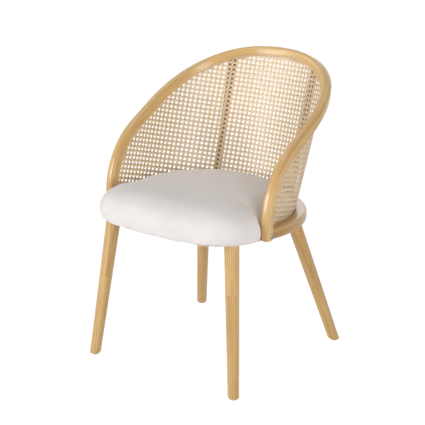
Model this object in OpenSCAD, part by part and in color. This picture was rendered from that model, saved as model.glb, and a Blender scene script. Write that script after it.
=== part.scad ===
// Cane armchair: a round seat frame on four splayed legs, one bent hoop that makes
// both arms and the top rail, woven cane between hoop and seat, and a crowned seat pad.
// Millimetres, +Z up, the chair faces -Y. The origin is on the floor, at the middle of
// the chair's overall width and depth. Inside the modules, y is counted from the centre
// of the seat frame's round back, and each piece is shifted to the origin at the end.

/* [Seat frame] */
// Height of the underside of the seat frame above the floor
frame_z = 380; // [340:1:430]
// Thickness of the seat frame
frame_t = 25; // [22:0.5:30]
// Outer radius of the round back part of the seat frame
frame_r = 259.5; // [256:0.5:266]
// Width of the rail at the back and sides
frame_w = 62; // [56:1:70]
// Width of the rail at the front, under the pad
front_rail_w = 45; // [42:1:50]
// Distance from the centre of the round back forward to the front edge
frame_front = 200; // [190:1:206]
// Radius of the two front corners of the frame
frame_corner_r = 125; // [118:1:132]
// Rounding of the upper outer edge
frame_edge_r = 10; // [4:0.5:12]
// Rounding of the lower outer edge
frame_low_edge_r = 3; // [1:0.5:6]

/* [Legs] */
// Diameter of a leg at the floor
leg_foot_d = 28.2; // [24:0.2:34]
// Diameter of a leg under the seat frame
leg_top_d = 37.6; // [34:0.2:40]
// Rounding of a leg's lower edge
leg_edge_r = 3.5; // [1:0.5:6]
// Splay of a front leg to the side, from its top to its foot
front_splay_x = 39.9; // [20:0.1:54]
// Splay of a front leg forwards
front_splay_y = 44.1; // [24:0.1:60]
// Splay of a rear leg to the side
rear_splay_x = 88.2; // [60:0.1:100]
// Splay of a rear leg backwards
rear_splay_y = 101.9; // [60:0.1:112]
// Direction of a front leg's top seen from the centre of its frame corner, below the x axis
front_leg_angle = 38; // [30:1:50]
// Distance of a front leg's top centre inside the frame's outline
front_leg_inset = 26; // [23:0.5:28]
// Direction of a rear leg's top seen from the seat centre, away from straight back
rear_leg_angle = 37.8; // [34:0.1:50]
// Distance of a rear leg's top centre inside the frame's outline
rear_leg_inset = 34; // [28:0.5:38]

/* [Foot glides] */
// Diameter of a glide
glide_d = 20; // [16:0.5:22]
// Thickness of a glide under the wood
glide_t = 2.5; // [2:0.5:4]
// Diameter of the spigot that holds a glide in its leg
glide_pin_d = 6; // [4:0.5:8]
// Length of that spigot
glide_pin_l = 12; // [8:1:16]

/* [Leg bolts] */
// Diameter of the bolt between leg and seat frame
leg_bolt_d = 8; // [6:1:10]
// Length of the bolt inside the leg
leg_bolt_in_leg = 38; // [25:1:50]
// Outer diameter of the threaded insert in the frame
insert_d = 13; // [12:0.5:16]
// Length of the threaded insert
insert_l = 17; // [12:0.5:18]

/* [Hoop] */
// Distance of the hoop's middle inside the frame's outer radius, at the posts
post_in = 13.5; // [10:0.5:16]
// Height of the straight part of a post below its bend
post_straight = 31.6; // [20:0.2:40]
// Height of the middle of the hoop at the back
hoop_top_z = 751; // [720:1:780]
// Distance of the hoop's rearmost middle line behind the seat centre
hoop_back = 329; // [315:1:340]
// Distance of the two posts ahead of the seat centre
post_ahead = 76; // [72:0.5:80]
// Length of the straight sides of the hoop's plan behind the seat centre
hoop_straight = 85; // [75:1:95]
// Squareness of the bend seen from above, where 2 is an ellipse
hoop_squareness = 2.28; // [2:0.02:2.5]
// Bending radius between post and arm
hoop_bend_r = 189; // [170:1:200]
// Thickness of the hoop, across the cane
hoop_t = 26; // [24:0.5:28]
// Height of the hoop's section, along the cane
hoop_h = 28; // [26:0.5:32]
// Rounding of the hoop's long edges
hoop_edge_r = 9; // [5:0.5:10]

/* [Cane] */
// Thickness of the woven cane sheet
cane_t = 2; // [1.6:0.1:2.4]
// Width of the frame's ledge outside the middle of the cane
ledge_w = 29; // [27:0.5:33]
// Depth of the groove that holds the cane's foot in the frame
groove_depth = 5; // [3:0.5:7]
// Width of the spline that wedges the cane in that groove
spline_w = 2.6; // [2:0.1:3.2]
// Depth of the spline's top below the frame's top
spline_sink = 0.3; // [0:0.1:1]
// Width of the bead that clamps the cane in the hoop's rebate
bead_w = 4.5; // [3.5:0.1:5.5]
// Height of that bead along the cane
bead_h = 6; // [4.5:0.1:8]

/* [Openings in the cane] */
// Number of openings side by side, as a coarse grid in place of the fine weave
open_columns = 12; // [8:2:12]
// Distance from one row of openings to the next
open_rise = 54; // [50:1:64]
// Width of an opening
open_w = 46; // [30:1:52]
// Height of an opening
open_h = 38; // [28:1:42]
// Least height of the closed cane below and above the openings
open_rim = 12; // [8:1:20]

/* [Uprights] */
// Direction of the two back slats, away from straight back
upright_angle = 31.5; // [26:0.5:34]
// Width of a slat
upright_w = 20; // [16:0.5:26]
// Thickness of a slat
upright_t = 11; // [9:0.5:12]
// Diameter of the dowels in the slat's ends
dowel_d = 6; // [5:0.5:7]
// Length of a dowel
dowel_l = 24; // [18:1:30]

/* [Post bolts] */
// Diameter of the bolt that holds a post to the seat frame
post_bolt_d = 6; // [5:0.5:8]
// Length of that bolt under its head
post_bolt_l = 55; // [48:1:60]
// Diameter of its head
post_head_d = 12; // [10:0.5:14]
// Height of its head
post_head_h = 3; // [2:0.5:4]
// Diameter of the barrel nut in the frame
barrel_d = 10; // [9:0.5:12]
// Length of the barrel nut
barrel_l = 16; // [12:0.5:17]
// Distance from the bolt's tip to the middle of the barrel nut
barrel_from_tip = 8; // [7:0.5:12]

/* [Seat pad] */
// Overhang of the pad beyond the frame's sides, ahead of the posts
pad_overhang = 16.1; // [12:0.1:18]
// Overhang of the pad ahead of the frame
pad_nose = 16; // [13:0.5:24]
// Squareness of the pad's front corners
pad_squareness = 3.4; // [3.2:0.1:3.8]
// Height of the widest line of the pad above the frame's underside
pad_waist = 18.5; // [16:0.5:22]
// Height of the crown above the widest line
pad_crown = 60.5; // [45:0.5:75]
// Flatness of the pad's top, where larger is flatter
pad_flatness = 7.4; // [4:0.2:10]
// Rounding of the pad's lower edge, measured inwards
pad_low_edge = 9; // [6:0.5:10]
// Thickness of the fabric cover with its wadding
cover_t = 1.5; // [1:0.1:2]
// Width of the hem that is stapled under the frame
hem_w = 22; // [15:1:28]
// Thickness of the plywood seat board
board_t = 10; // [8:0.5:15]
// Distance of the seat board's edge inside the pad's outline
board_inset = 8; // [7:0.5:12]
// Diameter of the screws that hold the seat board
screw_d = 4.8; // [4:0.2:6]
// Diameter of their heads
screw_head_d = 10; // [8:0.5:11]
// Height of their heads
screw_head_h = 2.6; // [2:0.2:4]
// Length of the screws under their heads
screw_l = 31; // [28:0.5:32]
// Thickness of the dust cloth under the seat
dust_t = 1; // [0.6:0.1:1.5]
// Distance that the dust cloth laps onto the frame
dust_lap = 5; // [3:0.5:6]

/* [Clearances] */
// Clearance between parts that are glued or pressed together
glue_gap = 0.1; // [0.05:0.05:0.3]
// Clearance between soft parts and what they lie on
soft_gap = 0.3; // [0.2:0.05:0.5]
// Clearance between a slat and the cane in front of it
slat_gap = 0.8; // [0.6:0.1:1.2]
// Clearance between a slat's head and the hoop's rounded underside
slat_end_gap = 0.5; // [0.3:0.1:1]
// Clearance of a bolt or screw in its hole
bolt_gap = 0.15; // [0.1:0.05:0.4]

/* [Hidden] */

$fn = 64;
tiny = 0.01;
wood = "burlywood";
far = 600;

// How far cuts run past a surface, the spare depth of a blind hole, and its end play.
past = 5;
hole_end = 0.2;
end_play = 0.5;

// Seat frame levels and the outline's straight side, against which the posts stand.
frame_top = frame_z + frame_t;
post_y = -post_ahead;
hoop_half_w = frame_r - post_in;
side_x = hoop_half_w - hoop_t / 2 - glue_gap;
cane_foot_r = frame_r - ledge_w;
pad_half_w = side_x + pad_overhang;
pad_front = frame_front + pad_nose;
corner_x = side_x - frame_corner_r;
corner_y = frame_corner_r - frame_front;

// The hoop: post, bend, inclined arm and back bow. Arm and bow lie in one plane, which
// touches the bend and passes through the hoop's highest point.
bend_start_z = frame_z + post_straight;
bend_to_back = [hoop_back - post_y - hoop_bend_r, hoop_top_z - bend_start_z];
hoop_slope = atan2(bend_to_back[1], bend_to_back[0])
    - asin(hoop_bend_r / norm(bend_to_back));
bend_angle = 90 - hoop_slope;
bend_end_y = post_y + hoop_bend_r * (1 - cos(bend_angle));
bend_end_z = bend_start_z + hoop_bend_r * sin(bend_angle);
bow_depth = hoop_back - hoop_straight;
lean = atan(hoop_straight / (hoop_top_z - frame_top));
lean_axis = [0, sin(lean), cos(lean)];

// Steps along the hoop's half: post end rounding, bend and bow.
post_steps = [0, 0.8, 2.4, 5];
post_shrink = [0.72, 0.86, 0.95, 1];
bend_steps = 12;
arm_steps = 3;
bow_steps = 18;
corner_steps = 4;

// The cane's place in the hoop's section and on the seat frame.
section_gap = 0.25;
groove_gap = 0.4;
rebate_w = bead_w + cane_t + 2 * section_gap;
rebate_h = bead_h + section_gap;
cane_u = -hoop_t / 2 + bead_w + section_gap + cane_t / 2;
cane_tuck = bead_h - end_play;
knee_angle = 88;
knee_x = cane_foot_r * sin(knee_angle);
knee_y = cane_foot_r * cos(knee_angle);
cane_front_x = hoop_half_w + cane_u;
cane_front_y = post_y + hoop_h / 2;
groove_in = cane_t / 2 + spline_w + 2 * groove_gap;
groove_out = cane_t / 2 + groove_gap;
groove_w = groove_in + groove_out;
cane_lift = 1;

// The pad is limited by the cane behind the posts and by the posts' inner faces.
pad_back_r = cane_foot_r - cane_t / 2 - 2 * soft_gap;
waist_z = frame_z + pad_waist;
pad_bottom = frame_z - cover_t;
pad_centre_y = -10;
pad_sides = 48;
swell_start = post_ahead + hoop_h / 2;
swell_length = 20;
board_r = pad_back_r - board_inset;
board_front_inset = 11;
board_front = pad_front - board_front_inset;
board_corner_r = frame_corner_r - 6;

// Leg axes from the floor to the frame's underside.
front_top = [
    corner_x + (frame_corner_r - front_leg_inset) * cos(front_leg_angle),
    corner_y - (frame_corner_r - front_leg_inset) * sin(front_leg_angle)
];
rear_top = [
    (frame_r - rear_leg_inset) * sin(rear_leg_angle),
    (frame_r - rear_leg_inset) * cos(rear_leg_angle)
];
front_foot = front_top + [front_splay_x, -front_splay_y];
rear_foot = rear_top + [rear_splay_x, rear_splay_y];
insert_sink = 3;
leg_room = 1.5;

// Screw places on the seat frame, clear of the dust cloth and of the cover's hem.
screw_room = 2;
screw_r = frame_r - frame_w + dust_lap + screw_head_d / 2 + screw_room;
screw_angles = [18, 62, 100];
front_screw_x = 70;
front_screw_y = (hem_w + front_rail_w - dust_lap) / 2 - frame_front;
screw_places = concat(
    [for (a = screw_angles) [screw_r * sin(a), screw_r * cos(a)]],
    [[front_screw_x, front_screw_y]]
);

// The shift that puts the origin at the middle of the overall depth.
hoop_rear = hoop_back + (hoop_t / 2 - hoop_edge_r) * cos(lean)
    + (hoop_h / 2 - hoop_edge_r) * sin(lean) + hoop_edge_r;
y_shift = (pad_front - hoop_rear) / 2;

// Vector helpers.
function unit(v) = v / norm(v);
function smooth(t) = let (c = min(1, max(0, t))) c * c * (3 - 2 * c);
function mirrored(p) = [-p[0], p[1], p[2]];

// Middle line of the right half of the hoop, from the post's end to the back.
function bow_point(a) = let (
    x = hoop_half_w * pow(cos(a), 2 / hoop_squareness),
    y = hoop_straight + bow_depth * pow(sin(a), 2 / hoop_squareness)
) [x, y, arm_z(y)];
function arm_z(y) = bend_end_z + (y - bend_end_y) * tan(hoop_slope);
function arm_point(t) = let (y = bend_end_y + (hoop_straight - bend_end_y) * t)
    [hoop_half_w, y, arm_z(y)];
function bend_point(a) = [
    hoop_half_w, post_y + hoop_bend_r * (1 - cos(a)), bend_start_z + hoop_bend_r * sin(a)
];
half_line = concat(
    [for (s = post_steps) [hoop_half_w, post_y, frame_z + s]],
    [for (i = [0 : bend_steps]) bend_point(bend_angle * i / bend_steps)],
    [for (i = [1 : arm_steps]) arm_point(i / arm_steps)],
    [for (i = [1 : bow_steps - 1]) bow_point(90 * i / bow_steps)]
);
half_count = len(half_line);
hoop_line = concat(
    half_line,
    [[0, hoop_back, hoop_top_z]],
    [for (i = [half_count - 1 : -1 : 0]) mirrored(half_line[i])]
);
hoop_count = len(hoop_line);

// Frame of the section at each point: direction, outwards and away from the cane.
function along(i) = unit(
    hoop_line[min(i + 1, hoop_count - 1)] - hoop_line[max(i - 1, 0)]
);
function plan_normal(p) = p[1] <= hoop_straight ? [sign(p[0]), 0, 0] : unit([
    sign(p[0]) * pow(abs(p[0]) / hoop_half_w, hoop_squareness - 1) / hoop_half_w,
    pow((p[1] - hoop_straight) / bow_depth, hoop_squareness - 1) / bow_depth,
    0
]);
function outwards(i) = let (
    n = plan_normal(hoop_line[i]),
    d = along(i),
    m = n - (n * lean_axis) * lean_axis
) unit(m - (m * d) * d);
function away(i) = cross(outwards(i), along(i));
function in_section(i, u, v) = hoop_line[i] + u * outwards(i) + v * away(i);
function end_shrink(i) = let (k = min(i, hoop_count - 1 - i))
    k < len(post_shrink) ? post_shrink[k] : 1;

// Outlines of the hoop's and the bead's sections, as [outwards, away from the cane].
function corner(cu, cv, r, a) = [
    for (k = [0 : corner_steps]) let (b = a + 90 * k / corner_steps)
        [cu + r * cos(b), cv + r * sin(b)]
];
hoop_u = hoop_t / 2;
hoop_v = hoop_h / 2;
hoop_section = concat(
    corner(hoop_u - hoop_edge_r, hoop_v - hoop_edge_r, hoop_edge_r, 0),
    corner(-hoop_u + hoop_edge_r, hoop_v - hoop_edge_r, hoop_edge_r, 90),
    [[-hoop_u, -hoop_v + rebate_h],
     [-hoop_u + rebate_w, -hoop_v + rebate_h],
     [-hoop_u + rebate_w, -hoop_v]],
    corner(hoop_u - hoop_edge_r, -hoop_v + hoop_edge_r, hoop_edge_r, 270)
);
bead_edge_r = 1.2;
bead_section = concat(
    [[-hoop_u + bead_w, -hoop_v], [-hoop_u + bead_w, -hoop_v + bead_h]],
    corner(-hoop_u + bead_edge_r, -hoop_v + bead_h - bead_edge_r, bead_edge_r, 90),
    corner(-hoop_u + bead_edge_r, -hoop_v + bead_edge_r, bead_edge_r, 180)
);

// Solid through equal rings of points, closed by flat ends.
module ringed_solid(rings) {
    n = len(rings[0]);
    last = len(rings) - 1;
    points = [for (ring = rings) each ring];
    sides = [
        for (i = [0 : last - 1], j = [0 : n - 1]) let (
            a = i * n + j, b = i * n + (j + 1) % n, c = a + n, d = b + n
        ) each [[a, b, c], [b, d, c]]
    ];
    ends = [[for (j = [n - 1 : -1 : 0]) j], [for (j = [0 : n - 1]) last * n + j]];
    polyhedron(points, concat(sides, ends), convexity = 10);
}

// Solid through equal rings of points, closed by a centre point above and below.
module domed_solid(rings, top, bottom) {
    n = len(rings[0]);
    last = len(rings) - 1;
    points = concat([for (ring = rings) each ring], [top, bottom]);
    top_i = (last + 1) * n;
    sides = [
        for (i = [0 : last - 1], j = [0 : n - 1]) let (
            a = i * n + j, b = i * n + (j + 1) % n, c = a + n, d = b + n
        ) each [[a, b, c], [b, d, c]]
    ];
    cap = [for (j = [0 : n - 1]) [top_i, (j + 1) % n, j]];
    base = [for (j = [0 : n - 1]) [top_i + 1, last * n + j, last * n + (j + 1) % n]];
    polyhedron(points, concat(cap, sides, base), convexity = 6);
}

module swept(section) {
    ringed_solid([
        for (i = [0 : hoop_count - 1]) [
            for (q = section) in_section(i, q[0] * end_shrink(i), q[1] * end_shrink(i))
        ]
    ]);
}

// Seat frame outline, grown or shrunk by one distance, as squares and discs.
module front_plan(grow, back_y) {
    x = side_x + grow;
    r = frame_corner_r + grow;
    translate([-x, corner_y]) square([2 * x, back_y - corner_y]);
    translate([-corner_x, corner_y - r]) square([2 * corner_x, r + tiny]);
    for (s = [-1, 1]) translate([s * corner_x, corner_y]) circle(r, $fn = 128);
}

// Everything behind the posts, as a plan.
module behind_posts() {
    translate([-far, cane_front_y]) square([2 * far, far]);
}

// Straight ends of the cane's foot, between the knee and the post.
foot_run = [cane_front_x - knee_x, cane_front_y - knee_y];
foot_turn = atan2(foot_run[1], foot_run[0]);
foot_length = norm(foot_run) + groove_w;

// A band that follows the cane's foot, from one distance outside its middle to another.
module foot_band(low, high, inner, outer, extra) {
    translate([0, 0, low]) {
        rotate([0, 0, 90 - knee_angle]) rotate_extrude(angle = 2 * knee_angle, $fn = 160)
            translate([cane_foot_r + inner, 0]) square([outer - inner, high - low]);
        for (m = [0, 1]) mirror([m, 0, 0]) translate([knee_x, knee_y, 0])
            rotate([0, 0, foot_turn]) translate([-end_play, inner, 0])
                cube([foot_length + extra, outer - inner, high - low]);
    }
}

module rear_frame_profile() {
    r_in = frame_r - frame_w;
    polygon(concat(
        [[r_in, 0]],
        [for (k = [0 : 4]) let (a = -90 + 90 * k / 4) [
            frame_r - frame_low_edge_r * (1 - cos(a)), frame_low_edge_r * (1 + sin(a))
        ]],
        [for (k = [0 : 8]) let (a = 90 * k / 8) [
            frame_r - frame_edge_r * (1 - cos(a)), frame_t - frame_edge_r * (1 - sin(a))
        ]],
        [[r_in, frame_t]]
    ));
}

// Places a child along a leg, untwisted, with z = 0 at the frame's underside and +z up the axis.
module at_leg_top(foot, top) {
    run = [top[0] - foot[0], top[1] - foot[1], frame_z];
    tilt = acos(frame_z / norm(run));
    turn = atan2(run[1], run[0]);
    translate([top[0], top[1], frame_z]) rotate([0, tilt, turn]) rotate([0, 0, -turn]) children();
}

module at_each_leg() {
    for (s = [0, 1]) mirror([s, 0, 0]) {
        at_leg_top(front_foot, front_top) children();
        at_leg_top(rear_foot, rear_top) children();
    }
}

module at_each_screw() {
    for (s = [0, 1], p = screw_places) mirror([s, 0, 0])
        translate([p[0], p[1], 0]) children();
}

// The post bolt runs along x, at half the frame's thickness.
post_face_x = hoop_half_w + hoop_t / 2;
bolt_back = 2;
bolt_y = post_y + bolt_back;
barrel_x = post_face_x - post_bolt_l + barrel_from_tip;
post_rim_h = post_head_h * 0.4;

module post_bolt_hole() {
    translate([post_face_x - post_bolt_l - end_play, bolt_y, frame_z + frame_t / 2])
        rotate([0, 90, 0])
            cylinder(d = post_bolt_d + 2 * bolt_gap, h = post_bolt_l + end_play + past);
}

module seat_frame() {
    color(wood) translate([0, y_shift, 0]) difference() {
        union() {
            translate([0, 0, frame_z]) linear_extrude(frame_t) difference() {
                front_plan(0, cane_front_y + past);
                front_plan(-front_rail_w, far);
            }
            intersection() {
                translate([0, 0, frame_z]) rotate_extrude($fn = 160) rear_frame_profile();
                linear_extrude(far) behind_posts();
            }
        }
        foot_band(frame_top - groove_depth - hole_end, frame_top + past,
            -groove_in, groove_out, past);
        at_each_leg() translate([0, 0, -past]) cylinder(
            d = insert_d + 2 * glue_gap, h = insert_l + insert_sink + past + hole_end
        );
        for (s = [0, 1]) mirror([s, 0, 0]) {
            post_bolt_hole();
            translate([barrel_x, bolt_y, frame_z - past]) cylinder(
                d = barrel_d + 2 * glue_gap, h = (frame_t + barrel_l) / 2 + past + hole_end
            );
            upright_foot_hole();
        }
        at_each_screw() translate([0, 0, frame_z - past])
            cylinder(d = screw_d + 2 * bolt_gap, h = frame_t + 2 * past);
    }
}

module seat_board() {
    color("tan") translate([0, y_shift, 0]) difference() {
        translate([0, 0, frame_top]) linear_extrude(board_t) board_plan(0);
        at_each_screw() translate([0, 0, frame_z])
            cylinder(d = screw_d + 2 * bolt_gap, h = screw_l + end_play);
    }
}

module board_plan(grow) {
    r = board_corner_r + grow;
    y = board_corner_r - board_front;
    x = board_r - board_corner_r;
    intersection() {
        circle(board_r + grow, $fn = 160);
        translate([-far, -tiny]) square([2 * far, far]);
    }
    translate([-board_r - grow, y]) square([2 * (board_r + grow), -y]);
    translate([-x, y - r]) square([2 * x, r + tiny]);
    for (s = [-1, 1]) translate([s * x, y]) circle(r, $fn = 128);
}

// Outline of the pad at its widest line, and the pad's levels below and above it.
function pad_half(y) = pad_back_r
    + (pad_half_w - pad_back_r) * smooth((-y - swell_start) / swell_length);
function pad_edge(a) = sin(a) >= 0
    ? [pad_back_r * cos(a), pad_back_r * sin(a)]
    : let (y = -pad_front * pow(-sin(a), 2 / pad_squareness))
        [sign(cos(a)) * pad_half(y) * pow(abs(cos(a)), 2 / pad_squareness), y];
function pad_ring(share, inset, z) = [
    for (j = [0 : pad_sides - 1]) let (
        e = pad_edge(360 * (j + 0.5) / pad_sides),
        d = e - [0, pad_centre_y],
        k = share * (norm(d) - inset) / norm(d)
    ) [k * d[0], pad_centre_y + k * d[1], z]
];
pad_shares = [0.55, 0.8, 0.92, 0.97, 0.993];
function pad_rise(share) = sqrt(1 - pow(share, pad_flatness));

module pad_form(inset) {
    crown = pad_crown - inset;
    drop = waist_z - pad_bottom - inset;
    domed_solid(
        concat(
            [for (s = pad_shares) pad_ring(s, inset, waist_z + crown * pad_rise(s))],
            [pad_ring(1, inset, waist_z)],
            [for (a = [30, 60, 90])
                pad_ring(1, inset + pad_low_edge * (1 - cos(a)), waist_z - drop * sin(a))]
        ),
        [0, pad_centre_y, waist_z + crown],
        [0, pad_centre_y, waist_z - drop]
    );
}

// What the pad leaves free: the frame, the board and the space under the board.
module pad_seat(gap, low) {
    translate([0, 0, low]) linear_extrude(frame_top + gap - low) front_plan(gap, 0);
    linear_extrude(frame_top + gap) behind_posts();
    translate([0, 0, frame_z]) linear_extrude(frame_t + board_t + gap) board_plan(gap);
}

module seat_foam() {
    color("lightyellow") translate([0, y_shift, 0]) difference() {
        pad_form(cover_t + soft_gap);
        pad_seat(soft_gap, 0);
    }
}

module seat_cover() {
    color("whitesmoke") translate([0, y_shift, 0]) difference() {
        pad_form(0);
        pad_form(cover_t);
        pad_seat(soft_gap, frame_z - tiny);
        translate([0, 0, frame_z - past]) linear_extrude(2 * past) front_plan(-hem_w, far);
        leg_clearance();
    }
}

// The room around the legs' tops that the hem and the dust cloth leave.
module leg_clearance() {
    at_each_leg() translate([0, 0, -leg_top_d])
        cylinder(d = leg_top_d + 2 * leg_room, h = 2 * leg_top_d);
}

module dust_cloth() {
    color("dimgray") translate([0, y_shift, 0]) difference() {
        translate([0, 0, frame_z - dust_t]) linear_extrude(dust_t) {
            front_plan(dust_lap - front_rail_w, cane_front_y);
            intersection() {
                circle(frame_r - frame_w + dust_lap, $fn = 160);
                behind_posts();
            }
        }
        leg_clearance();
    }
}

module back_hoop() {
    color(wood) translate([0, y_shift, 0]) difference() {
        swept(hoop_section);
        for (s = [0, 1]) mirror([s, 0, 0]) {
            post_bolt_hole();
            upright_head_hole();
        }
    }
}

module cane_bead() {
    color("wheat") translate([0, y_shift, 0]) swept(bead_section);
}

// Where a cane column starts on the seat, from the place where it meets the hoop.
function foot_x(y) = y > knee_y ? sqrt(cane_foot_r * cane_foot_r - y * y)
    : knee_x + (cane_front_x - knee_x) * (knee_y - y) / (knee_y - cane_front_y);
function foot_point(p) = let (
    back = p[1] - hoop_straight * (p[2] - frame_top) / (hoop_top_z - frame_top),
    side = norm([p[0], back]),
    y = back < 0 ? max(back, cane_front_y) : cane_foot_r * back / side,
    x = back > 0 && y > knee_y ? cane_foot_r * p[0] / side : sign(p[0]) * foot_x(y)
) [x, y];
first_column = len(post_steps);
cane_columns = [for (i = [first_column : hoop_count - 1 - first_column]) i];

// Section of the cane at one column: up its outer face and down its inner face.
function plan_out(i) = let (n = outwards(i)) unit([n[0], n[1], 0]);
function cane_column(i) = let (
    mouth = in_section(i, cane_u, -hoop_h / 2),
    deep = in_section(i, cane_u, cane_tuck - hoop_h / 2),
    f = foot_point(mouth),
    half = cane_t / 2,
    flat = half * plan_out(i),
    up = half * outwards(i),
    low = frame_top - groove_depth,
    foot = [f[0], f[1], min(frame_top + cane_lift, mouth[2] - cane_lift)],
    toe = [f[0], f[1], low]
) [toe + flat, foot + flat, mouth + up, deep + up, deep - up, mouth - up, foot - flat, toe - flat];

// Upper and lower ends of the straight line of the cane that leaves the seat in direction a.
cane_mouths = [for (i = cane_columns) in_section(i, cane_u, -hoop_h / 2)];
cane_turns = [for (m = cane_mouths) let (f = foot_point(m)) atan2(f[0], f[1])];
cane_count = len(cane_turns);
function mouth_at(a) = [
    for (k = [0 : 2]) lookup(a, [for (j = [0 : cane_count - 1]) [cane_turns[j], cane_mouths[j][k]]])
];
function foot_at(a) = let (f = foot_point(mouth_at(a))) [f[0], f[1], frame_top];
function rise_at(a) = norm(mouth_at(a) - foot_at(a));

// A coarse grid of openings, each square to the cane, as many rows as the cane's height takes.
open_turn = 2 * atan2(cane_front_x, cane_front_y) / open_columns;
open_half_turn = asin(open_w / 2 / cane_foot_r);
open_depth = 40;
function open_rows(a) = floor(
    (min(rise_at(a - open_half_turn), rise_at(a + open_half_turn)) - 2 * open_rim - open_h)
    / open_rise
);

module at_each_opening() {
    for (n = [0 : open_columns - 1]) {
        a = (n - (open_columns - 1) / 2) * open_turn;
        up = unit(mouth_at(a) - foot_at(a));
        out = unit(cross(foot_at(a - 1) - foot_at(a + 1), up));
        side = cross(out, up);
        rows = open_rows(a);
        if (rows >= 0) for (row = [0 : rows]) {
            p = foot_at(a) + (open_rim + open_h / 2 + row * open_rise) * up;
            multmatrix([
                [side[0], out[0], up[0], p[0]],
                [side[1], out[1], up[1], p[1]],
                [side[2], out[2], up[2], p[2]],
                [0, 0, 0, 1]
            ]) children();
        }
    }
}

module cane_panel() {
    color("tan") translate([0, y_shift, 0]) difference() {
        ringed_solid([for (i = cane_columns) cane_column(i)]);
        at_each_opening() cube([open_w, open_depth, open_h], center = true);
    }
}

module cane_spline() {
    color("wheat") translate([0, y_shift, 0]) intersection() {
        foot_band(frame_top - groove_depth, frame_top - spline_sink,
            -groove_in + groove_gap, -cane_t / 2 - groove_gap, 0);
        translate([-far, cane_front_y + end_play, 0]) cube([2 * far, far, 2 * far]);
    }
}

// A slat stands behind the cane along one straight line of its surface.
slat_off = cane_t / 2 + slat_gap + upright_t / 2;
function upright_near(i) = let (m = in_section(i, cane_u, -hoop_h / 2), f = foot_point(m))
    abs(atan2(f[0], f[1]) - upright_angle);
upright_steps = [for (i = [first_column : half_count]) upright_near(i)];
upright_i = [for (i = [first_column : half_count])
    if (upright_near(i) == min(upright_steps)) i][0];
slat_head = in_section(upright_i, cane_u, -hoop_h / 2);
slat_foot_xy = foot_point(slat_head);
slat_foot = [slat_foot_xy[0], slat_foot_xy[1], frame_top];
slat_run = slat_head - slat_foot;
slat_up = unit(slat_run);
function slat_normal(tangent) = unit(cross(tangent, slat_up));
slat_out = unit(
    slat_normal(in_section(upright_i + 1, cane_u, -hoop_h / 2)
        - in_section(upright_i - 1, cane_u, -hoop_h / 2))
    + slat_normal([-slat_foot[1], slat_foot[0], 0])
);
slat_side = cross(slat_out, slat_up);
upright_l = norm(slat_run);

// Local frame of a slat: x along its width, y outwards and z up its length.
module upright_frame() {
    base = slat_foot + slat_off * slat_out;
    x = -slat_side;
    multmatrix([
        [x[0], slat_out[0], slat_up[0], base[0]],
        [x[1], slat_out[1], slat_up[1], base[1]],
        [x[2], slat_out[2], slat_up[2], base[2]],
        [0, 0, 0, 1]
    ]) children();
}

module upright_foot_hole() {
    upright_frame() dowel_hole();
}

module upright_head_hole() {
    upright_frame() translate([0, 0, upright_l]) dowel_hole();
}

module dowel_hole() {
    translate([0, 0, -dowel_l / 2 - end_play])
        cylinder(d = dowel_d + 2 * glue_gap, h = dowel_l + 2 * end_play);
}

// Everything above the hoop's lower face, at the slat's head.
head_block = 100;
module above_hoop_face() {
    p = in_section(upright_i, cane_u, -hoop_h / 2 - slat_end_gap);
    a = outwards(upright_i);
    t = along(upright_i);
    b = away(upright_i);
    multmatrix([
        [a[0], -t[0], b[0], p[0]],
        [a[1], -t[1], b[1], p[1]],
        [a[2], -t[2], b[2], p[2]],
        [0, 0, 0, 1]
    ]) translate([-head_block / 2, -head_block / 2, 0]) cube(head_block);
}

slat_spare = 20;

module upright() {
    difference() {
        upright_frame() translate([-upright_w / 2, -upright_t / 2, -slat_spare])
            cube([upright_w, upright_t, upright_l + 2 * slat_spare]);
        translate([-far, -far, 0]) cube([2 * far, 2 * far, frame_top]);
        above_hoop_face();
        upright_foot_hole();
        upright_head_hole();
    }
}

module upright_right() {
    color(wood) translate([0, y_shift, 0]) upright();
}

module upright_left() {
    color(wood) translate([0, y_shift, 0]) mirror([1, 0, 0]) upright();
}

module upright_dowels() {
    color("wheat") translate([0, y_shift, 0]) for (s = [0, 1]) mirror([s, 0, 0])
        for (z = [0, upright_l]) upright_frame() translate([0, 0, z - dowel_l / 2])
            cylinder(d = dowel_d, h = dowel_l);
}

// A leg is a cone along its axis, cut level at the top and rounded at the floor.
module leg(foot, top) {
    length = norm([top[0] - foot[0], top[1] - foot[1], frame_z]);
    growth = (leg_top_d - leg_foot_d) / length / 2;
    below = 20;
    above = 12;
    difference() {
        intersection() {
            at_leg_top(foot, top) translate([0, 0, -length - below]) cylinder(
                r1 = leg_foot_d / 2 - growth * below,
                r2 = leg_top_d / 2 + growth * above,
                h = length + below + above
            );
            translate([foot[0], foot[1], 0]) rotate_extrude() polygon(concat(
                [[0, glide_t]],
                [for (k = [0 : 5]) let (a = -90 + 90 * k / 5) [
                    leg_foot_d / 2 - leg_edge_r * (1 - cos(a)),
                    glide_t + leg_edge_r * (1 + sin(a))
                ]],
                [[far, far / 2], [far, frame_z + far], [0, frame_z + far]]
            ));
            translate([-far, -far, 0]) cube([2 * far, 2 * far, frame_z]);
        }
        at_leg_top(foot, top) translate([0, 0, -leg_bolt_in_leg])
            cylinder(d = leg_bolt_d + 2 * bolt_gap, h = leg_bolt_in_leg + above + past);
        translate([foot[0], foot[1], 0])
            cylinder(d = glide_pin_d + 2 * glue_gap, h = glide_t + glide_pin_l + hole_end);
    }
}

module glide(foot) {
    color("lightgray") translate([foot[0], foot[1], 0]) {
        cylinder(d = glide_d, h = glide_t);
        cylinder(d = glide_pin_d, h = glide_t + glide_pin_l);
    }
}

module leg_front_left() {
    color(wood) translate([0, y_shift, 0]) mirror([1, 0, 0]) leg(front_foot, front_top);
}

module leg_front_right() {
    color(wood) translate([0, y_shift, 0]) leg(front_foot, front_top);
}

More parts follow.
